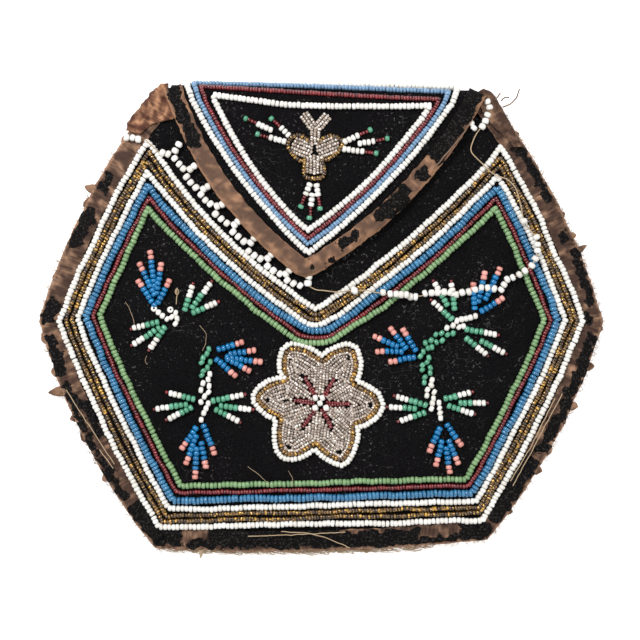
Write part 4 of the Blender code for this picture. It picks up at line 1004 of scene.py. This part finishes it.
# Star flower: its white outline, petal by petal, from the notch above it
STAR_OUTLINE = (
    (0.5, -11.7), (-3.6, -9.2), (-6.6, -8.2), (-9.5, -8.1), (-11.6, -9.8), (-12.6, -13.6), (-12.3, -16.7),
    (-11, -18.4), (-13.5, -18.4), (-16.1, -19.4), (-18.8, -21.3), (-20.3, -23.2), (-20.3, -25.5), (-18.8, -27.4),
    (-16.1, -29.7), (-13.5, -31), (-13.9, -33.1), (-14, -36.2), (-13.5, -40), (-11.4, -42.5), (-8.9, -42.9),
    (-5.8, -42.3), (-3.5, -40.8), (-1.8, -39.8), (-0.1, -41.5), (2.2, -43.1), (4.7, -44.2), (6.5, -44.7),
    (8.4, -43.1), (9.9, -40.4), (10.8, -37.7), (11.2, -34.6), (10.6, -33.3), (12.9, -32.7), (15.6, -31.2),
    (17.5, -29.3), (18.5, -27), (18.5, -25.9), (17.1, -22.8), (15.2, -21.5), (12.6, -20.1), (10.7, -19.4),
    (11.8, -16.7), (12, -13.6), (11.4, -10.9), (10.3, -9), (8, -8.1), (5.3, -8.8), (2.2, -10.1),
)
STAR_CENTRE = (-0.3, -26.1)
STAR_TIPS = ((-11.2, -9.6), (10.6, -9.4), (18.2, -26.6), (6.8, -43.9), (-12.0, -42.0), (-19.9, -24.6))
STAR_NOTCHES = ((-11.2, -18.2), (0.5, -12.1), (10.6, -19.6), (10.6, -33.5), (-1.8, -39.6), (-13.4, -31.2))
VEIN_TIPS = ((-4.7, -18.6), (3.8, -18.8), (8.3, -26.2), (3.0, -33.1), (-5.4, -32.9), (-7.7, -25.1))
HEART = ((-1.6, -24.3), (0.5, -24.3), (-0.3, -26.0), (-1.7, -27.4), (1.5, -27.4))


def nearest_on(point, a, b):
    ax, ay = b[0] - a[0], b[1] - a[1]
    t = ((point[0] - a[0]) * ax + (point[1] - a[1]) * ay) / (ax * ax + ay * ay)
    return lerp(a, b, min(max(t, 0.0), 1.0))


def build_star():
    """Two outlines, then nested loops of clear beads round the six red veins."""
    outline = list(STAR_OUTLINE)
    string_of(laid_beads(outline, "white", front_surface, True, (1.75, 1.22)), "star_white_outline",
              "star_white_beads")
    gold = inset(outline[::-1], 1.6)
    string_of(laid_beads(gold, "bright_gold", front_surface, True, (1.5, 1.05)), "star_gold_outline",
              "star_gold_beads")
    crystals, veins = [], []
    for k, tip in enumerate(STAR_TIPS):
        left, right = STAR_NOTCHES[k], STAR_NOTCHES[(k + 1) % 6]
        reach = dist(STAR_CENTRE, tip)
        core = (STAR_CENTRE, lerp(STAR_CENTRE, tip, 0.76))
        sides = between(gold, left, right)
        rim = [(*p, 0.0) for p in smooth_route([STAR_CENTRE, sides[0]], 0.5)]
        rim += [(*p, 0.5) for p in smooth_route(sides, 0.5)]
        rim += [(*p, 0.0) for p in smooth_route([sides[-1], STAR_CENTRE], 0.5)]
        for j in range(6):
            loop = drawn_in(rim, core, 0.55 + j * 1.08)
            finish = ("crystal", "dull_crystal")[j % 2]
            for entry in laid_beads(loop, finish, front_surface) if loop else ():
                place = entry[0].xy[:]
                vein = nearest_on(place, lerp(STAR_CENTRE, VEIN_TIPS[k], 0.2), VEIN_TIPS[k])
                hole = dist(place, lerp(STAR_CENTRE, tip, 0.8))
                if dist(place, vein) > 0.9 and hole > 0.65 and dist(place, STAR_CENTRE) > 2.2:
                    crystals.append(entry)
        for offset in (-0.42, 0.42):
            ux, uy = (tip[0] - STAR_CENTRE[0]) / reach, (tip[1] - STAR_CENTRE[1]) / reach
            root = lerp(STAR_CENTRE, VEIN_TIPS[k], 0.24)
            a = (root[0] - uy * offset, root[1] + ux * offset)
            b = (VEIN_TIPS[k][0] - uy * offset * 0.3, VEIN_TIPS[k][1] + ux * offset * 0.3)
            veins += laid_beads([a, b], "red", front_surface, size=(1.0, 0.85))
    string_of(crystals, "star_crystal_field", "star_clear_beads")
    string_of(veins, "star_veins", "star_vein_beads")
    heart = [bead((x, y, front_surface(x, y) + 1.3), (1.0, 0.2, 0.0), "white", (1.9, 1.6)) for x, y in HEART]
    string_of(heart, "star_heart")


def between(ring, start, end):
    """The shorter part of a ring, between its places nearest to two points."""
    a, b = (min(range(len(ring)), key=lambda n: dist(ring[n], place)) for place in (start, end))
    forward = [ring[(a + i) % len(ring)] for i in range((b - a) % len(ring) + 1)]
    back = [ring[(a - i) % len(ring)] for i in range((a - b) % len(ring) + 1)]
    return forward if len(forward) < len(back) else back


def drawn_in(rim, core, distance):
    """A rim moved in towards its core line, left out where it would pass it. Places on
    the rim have a further distance of their own."""
    loop = []
    for x, y, more in rim:
        near = nearest_on((x, y), *core)
        away = dist((x, y), near)
        if away > distance + more:
            loop.append(lerp((x, y), near, (distance + more) / away))
    return loop if len(loop) > 3 else []


FLAP_PETALS = {
    "left": (
        ((-3.4, 52.2), (-6.3, 54.2), (-8.7, 53.4), (-9.9, 50.9), (-7.5, 47.3), (-5.6, 46.4), (-4.6, 46.8)),
        (-2.9, 49.2), (-8.4, 51.4),
    ),
    "low": (
        ((-4.7, 46.2), (-5.1, 44), (-4.7, 41.8), (-2, 41.1), (0.7, 41.8), (0.9, 44.2), (0.3, 46.5)), (-2, 47.9),
        (-2, 42.6),
    ),
    "right": (
        ((0.7, 46.9), (2.5, 47.1), (5.6, 49.7), (6.5, 52.1), (3.8, 53.9), (0.9, 53.3), (-0.6, 52)), (-1, 49.4),
        (5, 51.8),
    ),
}
SPRIG = (((-1.8, 51.6), (-1.7, 56.1), 0.45), ((-2.4, 56.5), (-5.1, 60.4), 0.9), ((-1.1, 56.4), (2.0, 59.9), 0.9))


def ranks(a, b, half, finish, height):
    """Rows of beads side by side from a to b, out to the half width."""
    length = dist(a, b)
    nx, ny = (a[1] - b[1]) / length, (b[0] - a[0]) / length
    width = SIZES[finish][0]
    count = max(1, round(half / width))
    beads = []
    for k in range(-count, count + 1):
        off = k * width * 0.95
        trim = abs(k) * 0.28
        c, d = shifted(a, a, b, trim), shifted(b, b, a, trim)
        line = [(c[0] + nx * off, c[1] + ny * off), (d[0] + nx * off, d[1] + ny * off)]
        beads += laid_beads(line, finish, height)
    return beads


def build_flap_motif():
    for side, (outline, root, tip) in FLAP_PETALS.items():
        string_of(laid_beads(smooth_route(outline, 0.9), "gold", flap_surface), f"flap_{side}_petal_outline",
                  f"flap_{side}_petal_gold_beads")
        string_of(ranks(root, tip, 1.9, "crystal", flap_surface), f"flap_{side}_petal")
    beads = []
    for root, tip, half in SPRIG:
        beads += ranks(root, tip, half, "crystal", flap_surface)
    string_of(beads, "flap_sprig")


def smooth_route(points, step):
    """Points of even spacing on a smooth curve through the given ones."""
    ends = [points[0]] + list(points) + [points[-1]]
    fine = []
    for i in range(len(points) - 1):
        p0, p1, p2, p3 = ends[i:i + 4]
        for k in range(8):
            t = k / 8
            fine.append(tuple(
                0.5 * (2 * b + (c - a) * t + (2 * a - 5 * b + 4 * c - d) * t * t
                       + (3 * b - a - 3 * c + d) * t ** 3)
                for a, b, c, d in zip(p0, p1, p2, p3)))
    fine.append(points[-1])
    return [(place.x, place.y) for place, way in even([(x, y, 0.0) for x, y in fine], step)]


# Lace on the flap's left side: each tooth's foot and tip, with the beads that follow
LACE_START = ((-58.4, 53.9), (-56.6, 53.7), (-54.9, 53.2))
LACE_RUN_IN = ((-47.5, 49.1), (-45.8, 48.7))
LACE = (
    ((-43.7, 49.7), (-42.6, 51.5), ((-43.9, 47.4), (-42.5, 45.7), (-41.2, 44.3))),
    ((-39.2, 44), (-37.9, 45.1), ((-40.3, 41.8), (-39, 40.2), (-37.5, 38.6))),
    ((-35.3, 38.2), (-33.8, 38.8), ((-36, 36.5), (-34.6, 34.7), (-33, 33.6))),
    ((-31.2, 33), (-29.6, 33.5), ((-31.5, 30.6), (-29.8, 29.2), (-28.1, 27.9))),
    ((-26, 27.4), (-24.9, 28.5), ((-26.4, 25.3), (-24.8, 23.9), (-23.1, 22.5))),
    ((-21.1, 22), (-20, 23.4), ((-21.6, 19.6), (-20, 18.2), (-18.1, 17.3))),
    ((-16, 17.3), (-14.9, 18.5), ((-16, 15), (-14.2, 13.7), (-12.3, 12.8))),
    ((-10.6, 12.7), (-9.4, 13.8), ((-10.1, 10.8), (-8.2, 9.9), (-6.3, 9.2))), ((-4, 10), (-3.7, 11.9), ()),
)
LACE_BEAD, STRAND_BEAD, STRAND_WIDTH = (2.3, 1.85), (2.25, 1.75), 0.36
# The thread of the lace's loose end, from the flap's point to the curl at the corner
STRAND_ROUTE = (
    (-3.6, 9.1), (-1.5, 8), (0.6, 7.8), (5, 7.3), (8.1, 7.7), (10.5, 7.8), (13.5, 7.8), (16.2, 7.2), (20.4, 6.6),
    (23.1, 6.8), (26.1, 6.5), (29.7, 6.1), (33.6, 7.3), (37.8, 7.5), (40.8, 6.6), (45.6, 7.9), (48.3, 8.8),
    (51.6, 8.5), (53.9, 8.2), (56.1, 10.9), (58.2, 11.9), (60.6, 13.4), (63.1, 15.2), (64.3, 17.2), (65, 19.4),
    (64.8, 21.4), (64.3, 23.7), (62.7, 25.8), (60.8, 28.3), (60, 32.2), (58.5, 37.9), (56.1, 40.8), (53.4, 41.9),
    (50.6, 43.4), (47.4, 46.8), (45, 49.6), (45.6, 52.6), (47, 55.4), (48.3, 56.9), (49.5, 58.8), (50, 60.8),
    (50.6, 62.8), (50.1, 64.7),
)
STRAND_BEADS = (
    (9.6, 8.1), (10.2, 7.6), (18.6, 7.2), (20.7, 6.7), (22.4, 6.7), (24, 6.5), (25.4, 6.5), (26.7, 6), (28.3, 5.9),
    (31.1, 6.9), (33, 7), (34.9, 7.2), (36.8, 7.3), (38.6, 7.2), (40.5, 6.6), (42.3, 7.2), (44.2, 7.4), (46.1, 7.9),
    (48, 8.6), (49.9, 8.6), (51.8, 8.3), (54, 8), (54.9, 9.6), (55.8, 11.1), (57.5, 11.7), (59.4, 12.5), (61, 13.7),
    (63.1, 15.2), (64.2, 17.3), (64.8, 19.7), (64.8, 21.5), (64.4, 23.7), (60.7, 28.5), (45.9, 56.6), (45, 58.1),
    (48.5, 57), (49.4, 58.8), (50, 60.6), (50.6, 62.8), (50, 64.7),
)


def outer_depth(x, y, row):
    """How far inside the outer bead row a place lies."""
    nearest, inside = 1e9, False
    for a, b in zip(row, row[1:] + row[:1]):
        nearest = min(nearest, dist((x, y), nearest_on((x, y), a, b)))
        if (a[1] > y) != (b[1] > y) and x < a[0] + (y - a[1]) / (b[1] - a[1]) * (b[0] - a[0]):
            inside = not inside
    return nearest if inside else -nearest


def over_rows(height, row, low, high):
    """A height that climbs over the band of bead rows."""
    def raised(x, y):
        depth = outer_depth(x, y, row)
        up = min(max((depth + 2.4) / 1.6, 0.0), 1.0) * min(max((14.0 - depth) / 2.0, 0.0), 1.0)
        return height(x, y) + low + (high - low) * up
    return raised


def in_frame(x, y, z):
    return ((x + FRAME_SHIFT[0]) * MM, (y + FRAME_SHIFT[1]) * MM, z * MM)


def tube(name, routes, diameter, finish, node, replaces=False):
    """Threads as curves of open splines."""
    data = bpy.data.curves.new(name, "CURVE")
    data.dimensions = "3D"
    data.bevel_depth = diameter / 2 * MM
    data.bevel_resolution = 1
    data.use_fill_caps = True
    for route in routes:
        spline = data.splines.new("POLY")
        spline.points.add(len(route) - 1)
        for point, (x, y, z) in zip(spline.points, route):
            point.co = (*in_frame(x, y, z), 1.0)
        spline.use_smooth = True
    return dress(placed(name, data), [finish], node, replaces)


def build_strand(row):
    rise = over_rows(front_surface, row, 0.9, 3.1)
    fine = smooth_route(STRAND_ROUTE, 1.0)
    route = [(x, y, rise(x, y)) for x, y in fine]
    thread = tube("loose_strand_thread", [route], STRAND_WIDTH, "thread", "loose_strand", True)
    beads = []
    for k, (x, y) in enumerate(STRAND_BEADS):
        i = min(range(len(fine) - 1), key=lambda n: dist(fine[n], (x, y)))
        way = Vector((fine[i + 1][0] - fine[i][0], fine[i + 1][1] - fine[i][1], 0.0))
        beads.append(bead((x, y, rise(x, y) + 0.25), way, "white", STRAND_BEAD))
    loose = string_of(beads, "loose_strand", replaces=False)
    start = Vector(in_frame(*route[0]))


def build_lace(row):
    rise = over_rows(front_surface, row, 1.1, 1.9)
    beads = []

    def add(x, y, way, lift=0.0):
        beads.append(bead((x, y, rise(x, y) + lift), (way[0], way[1], 0.0), "white", LACE_BEAD))

    for x, y in LACE_START:
        add(x, y, (1.0, -0.2), 0.6)
    for x, y in LACE_RUN_IN:
        add(x, y, (1.0, -0.6), 0.5)
    for foot, tip, following in LACE:
        way = (tip[0] - foot[0], tip[1] - foot[1])
        add(*foot, way, 0.1)
        add(*tip, way, 0.6)
        for x, y in following:
            add(x, y, (1.0, -1.05), 0.25)
    string_of(beads, "bead_lace")


# Stray threads: finish, weight and width, then for each its height over the front and places
STRAYS = (
    ("thread", "thick", 0.26, (
        (1.6, ((-76.5, -22), (-74.7, -25.1), (-62.1, -44.3))), (1.7, ((-66.6, -39.9), (-62.4, -45.5))),
        (1.6, ((-21.9, -66), (-10, -65.6), (7.2, -64.7))), (1.9, ((-12, -64.6), (-2, -65.4), (8.7, -69.5))),
        (1.7, ((72.6, -23.1), (68.4, -30.8), (57.6, -50.9))), (1.7, ((70.2, -24.4), (63.5, -38), (56.9, -49.3))),
        (1.4, ((-43.3, 3.7), (-43.2, 5.5), (-42.9, 7.6))),
        (1.7, ((-43.1, 6.3), (-43.7, 7.2), (-43, 8.3), (-42.4, 7.3), (-43, 6.4))),
        (1.9, ((-43.4, 6.5), (-43.2, 7.4), (-42.8, 8.4))), (1.5, ((-52.8, 53.1), (-50.6, 51.2), (-48.6, 49.3))),
    )),
    ("thread", "fine", 0.13, (
        (1.4, ((-36.3, -2.7), (-34.6, -4.6), (-34.3, -7), (-35.4, -10.3))),
        (1.3, ((-52.2, -11.8), (-52.6, -13.4), (-51.9, -14.4))), (1.2, ((-58.6, 4.4), (-56.6, 0.6), (-55.9, -2.4))),
        (1.2, ((-22, -45), (-18.6, -47.4), (-15.8, -50.2))), (1.2, ((-9.8, -46.2), (-8.6, -48.6), (-9, -50.6))),
    )),
    ("brown_thread", "thick", 0.45, (
        (3.4, ((43.4, 55.8), (39.5, 51), (33.6, 44.1))), (1.3, ((52.5, 65.3), (53.2, 66.2), (54, 67.4))),
        (1.3, ((54.6, 63), (57.4, 64.2), (59, 66.2), (59.7, 68.4))),
        (1.5, ((54.2, 64.6), (55.2, 65.6), (56.6, 65.9))),
    )),
)
# Torn silk that stands out of the edge: distance along it, width, reach and lean
TABS = (
    (20, 2.6, 0.7, -0.5), (37.5, 3.2, 3, 0.9), (42, 4, 0.9, 0.5), (66, 3, 0.6, 0.6), (86, 4, 1, 0.4),
    (97, 3.4, 1.3, -0.8), (103, 3.4, 4.6, -2.2), (112, 2.4, 1.5, -0.9), (118, 4, 1.2, 0.9), (132, 2.6, 1.3, 0.6),
    (269, 2.2, 1, 0.7), (284, 3, 1.5, 0.9), (291, 3.6, 0.9, -0.4), (306, 3, 1.8, 0.8), (319, 3.2, 2, 0.9),
    (331, 2.4, 0.7, 0.3), (356, 2.4, 3, 0.9), (361, 2, 1.2, -0.6), (368, 2, 0.9, -0.3), (396, 2, 1, -0.6),
)
LINING_TABS = (
    (172, 1.4, 2.6, -0.2), (221.5, 3.2, 1.5, 0.5), (214, 5, 0.8, 0.6), (186, 6, 0.7, -0.5), (198, 5, 0.6, 0.5),
)
EDGE_FIBRES, FRINGE_THREADS = 700, 260
# The part of the edge, by distance along it, where the fibres are the lining's
BASE_STRETCH = (158.0, 258.0)
# A tab's corners: share of its width, share of its reach
TAB_SHAPE = ((-0.5, -0.8), (-0.42, 0.35), (-0.15, 0.8), (0.05, 1.0), (0.3, 0.7), (0.45, 0.3), (0.5, -0.8))


def along_edge(path, s):
    """A place on the bound edge and the direction out of it."""
    passed = 0.0
    for a, b in zip(path, path[1:]):
        length = dist(a, b)
        if passed + length >= s:
            x, y = lerp(a, b, (s - passed) / length)
            return x, y, (a[1] - b[1]) / -length, (b[0] - a[0]) / -length
        passed += length
    return along_edge(path, passed - 0.01)


def build_fraying():
    """Torn tabs of silk, and fine fibres, along the bound edge."""
    path = bag_path(GAP, 1.5)
    torn_tabs("torn_silk_tabs", TABS, path, "silk", "edge_binding")
    torn_tabs("torn_lining_tabs", LINING_TABS, path, "lining", "front_lining")
    hairs, tan = [], []
    for k in range(EDGE_FIBRES):
        s = random.uniform(2.0, 408.0)
        x, y, ox, oy = along_edge(path, s)
        low = BASE_STRETCH[0] < s < BASE_STRETCH[1]
        long = random.uniform(0.5, 1.6) * (1.6 if random.random() < 0.12 else 1.0)
        side = random.uniform(-1.0, 1.0)
        z = random.uniform(0.3, 3.6)
        start = (x - ox * 0.3, y - oy * 0.3, z)
        middle = (x + (ox * 0.5 - oy * side * 0.5) * long, y + (oy * 0.5 + ox * side * 0.5) * long, z + 0.15)
        end = (x + (ox * 0.8 - oy * side * 1.1) * long, y + (oy * 0.8 + ox * side * 1.1) * long, z)
        (tan if low or random.random() < 0.3 else hairs).append([start, middle, end])
    tube("dark_edge_fibres", hairs, 0.11, "brown_thread", "edge_binding")
    tube("tan_edge_fibres", tan, 0.13, "thread", "front_lining")


def torn_tabs(name, table, path, finish, slot):
    """Torn cloth that stands out of the edge."""
    bm = bmesh.new()
    bare = bm.verts.layers.float.new("bare")
    wear_and_fold_light = bm.verts.layers.float.new("wear_and_fold_light")
    for s, width, reach, lean in table:
        x, y, ox, oy = along_edge(path, s)
        z = front_height(FRONT_TOP)(x, y) * random.uniform(0.3, 0.95)
        corners = []
        for share, out in TAB_SHAPE:
            side = share * width + lean * max(out, 0.0) * 0.6 + random.uniform(-0.15, 0.15)
            far = reach * out if out > 0.0 else out
            lift = 0.5 * ripple(s, share * 3.0, out)
            corners.append(bm.verts.new((x + ox * far - oy * side, y + oy * far + ox * side, z + lift)))
        bm.faces.new(corners)
        for vert in corners:
            vert[bare] = 0.15
            vert[wear_and_fold_light] = random.uniform(0.2, 1.0)
    bmesh.ops.triangulate(bm, faces=bm.faces[:])
    bmesh.ops.subdivide_edges(bm, edges=bm.edges[:], cuts=2, use_grid_fill=True)
    for vert in bm.verts:
        vert.co.z += 0.35 * noise.noise(vert.co / 0.9)
    bmesh.ops.recalc_face_normals(bm, faces=bm.faces[:])
    solidify(finished(name, bm, [finish], slot, False), 0.12)


def build_corner_silk():
    bunched("left_corner_silk", "bunched_silk",
            ((-46.0, 70.4), (-48.4, 69.9), (-50.8, 68.0), (-53.2, 65.0), (-55.6, 62.0), (-57.6, 59.6), (-59.0, 56.2)),
            ((-45.8, 68.6), (-44.6, 63.2), (-43.6, 59.8), (-47.6, 58.6), (-51.0, 57.6), (-54.4, 54.8)), 0.75)
    bunched("right_corner_silk", "silk",
            ((49.0, 68.7), (51.8, 67.2), (54.6, 62.7), (57.6, 57.3), (60.9, 51.2)),
            ((46.6, 67.2), (48.0, 62.8), (50.6, 58.2), (54.2, 55.0), (58.2, 50.8)), 0.4)


def bunched(name, finish, outer, inner, swell):
    """A corner of the bag, where the binding is pulled wide and bunched up."""
    outer, inner = smooth_route(outer, 0.45), smooth_route(inner, 0.45)
    height = front_height(FRONT_TOP + 2 * GAP + RIBBON)

    def place(u, v):
        a = outer[round(u * (len(outer) - 1))]
        b = inner[round(u * (len(inner) - 1))]
        ragged = 0.5 * ripple(u * 14.0, 2.0, 0.0) * (1.0 - v)
        x, y = lerp(a, b, v)
        x, y = x - ragged, y + ragged
        fold = ripple(x / 2.0, y / 3.4, 4.0) + 0.6 * ripple(x / 0.9, y / 1.4, 8.0)
        edge = min(v / 0.1, 1.0) * min((1.0 - v) / 0.1, 1.0)
        roll = -1.6 * (1.0 - min(v / 0.12, 1.0)) ** 2
        z = height(x, y) + 0.35 + swell * fold * edge + roll
        # The last value is painted light: pale on the wrinkle ridges (painted highlight), darker in the hollows
        # (painted shade).
        return (x, y, z), (u * 0.02, v * 0.01), 0.0, min(max(swell * (0.33 + fold * 1.4), 0.0), 1.0)

    bm = worn_grid(34, 16, place)
    if sum(face.normal.z for face in bm.faces) < 0.0:
        bmesh.ops.reverse_faces(bm, faces=bm.faces[:])
    solidify(finished(name, bm, [finish], "edge_binding", False), 0.2)


def build_threads(row):
    """Frayed lining along the base, and stray threads."""
    rise = over_rows(front_surface, row, 0.0, 0.9)
    for finish, weight, size, threads in STRAYS:
        routes = []
        for lift, places in threads:
            wave = [(x + 0.25 * ripple(x / 2, y / 2, 1.0), y + 0.25 * ripple(x / 2, y / 2, 9.0))
                    for x, y in smooth_route(places, 0.8)]
            routes.append([(x, y, rise(x, y) + lift) for x, y in wave])
        tube(f"stray_{finish}_{weight}", routes, size, finish, "edge_binding")
    routes = []
    for k in range(FRINGE_THREADS):
        x = random.uniform(-50.0, 30.0)
        y = BASE_LEFT[1] + BASE_SLANT / 2 + 0.025 * x - BASE_BOW * (1.0 - (x / 50.0) ** 2)
        y -= random.uniform(-0.3, 0.7)
        ends = random.uniform(1.5, 6.0)
        lean = random.uniform(-0.9, 0.5)
        z = random.uniform(0.4, 2.6)
        routes.append([(x + ends * t, y - 0.15 + sin(t * 5.0 + k) * 0.3 + lean * t, z + 0.2 * sin(t * 4 + k))
                       for t in (0.0, 0.25, 0.5, 0.75, 1.0)])
    tube("lining_fringe", routes, 0.16, "thread", "front_lining")


# Floor, light and camera

def build_stage():
    bm = bmesh.new()
    bmesh.ops.create_grid(bm, x_segments=1, y_segments=1, size=1.5)
    floor = placed("white_floor", mesh_of(bm, "white_floor"))
    paint = Paint("floor_paper", roughness=0.9, specular_ior_level=0.1, emission_strength=0.45)
    paint.shader.inputs["Emission Color"].default_value = (1.0, 1.0, 1.0, 1.0)
    paint.feed("Base Color", paint.mix((0.93, 0.93, 0.93), (0.96, 0.96, 0.96), paint.noise(3.0)))
    floor.data.materials.append(paint.material)
    world = bpy.context.scene.world or bpy.data.worlds.new("studio")
    bpy.context.scene.world = world
    world.use_nodes = True
    background = world.node_tree.nodes["Background"].inputs
    background["Color"].default_value, background["Strength"].default_value = (1.0, 1.0, 1.0, 1.0), 0.72
    for name, place, size, power in (("key", (-0.35, 0.45, 0.75), 0.22, 6.5), ("fill", (0.6, -0.2, 0.8), 0.4, 2.0)):
        data = bpy.data.lights.new(name, "AREA")
        data.size = size
        data.energy = power
        light = placed(name, data)
        light.location = place
        light.rotation_euler = (-Vector(place)).to_track_quat("-Z", "Y").to_euler()
    bpy.context.scene.view_settings.view_transform = "Standard"
    data = bpy.data.cameras.new("overhead")
    data.lens, data.sensor_width = 168.0, 36.0
    camera = placed("overhead", data)
    camera.location = ((-0.3 + FRAME_SHIFT[0]) * MM, (-1.05 + FRAME_SHIFT[1]) * MM, 0.904)
    bpy.context.scene.camera = camera


def main():
    build_stage()
    row = front_row_points(0.0, 4.0)
    build_strand(row)
    build_panels()
    build_flap()
    build_bindings()
    build_rows()
    build_sprays()
    build_star()
    build_flap_motif()
    build_lace(row)
    build_corner_silk()
    build_fraying()
    build_threads(row)


main()
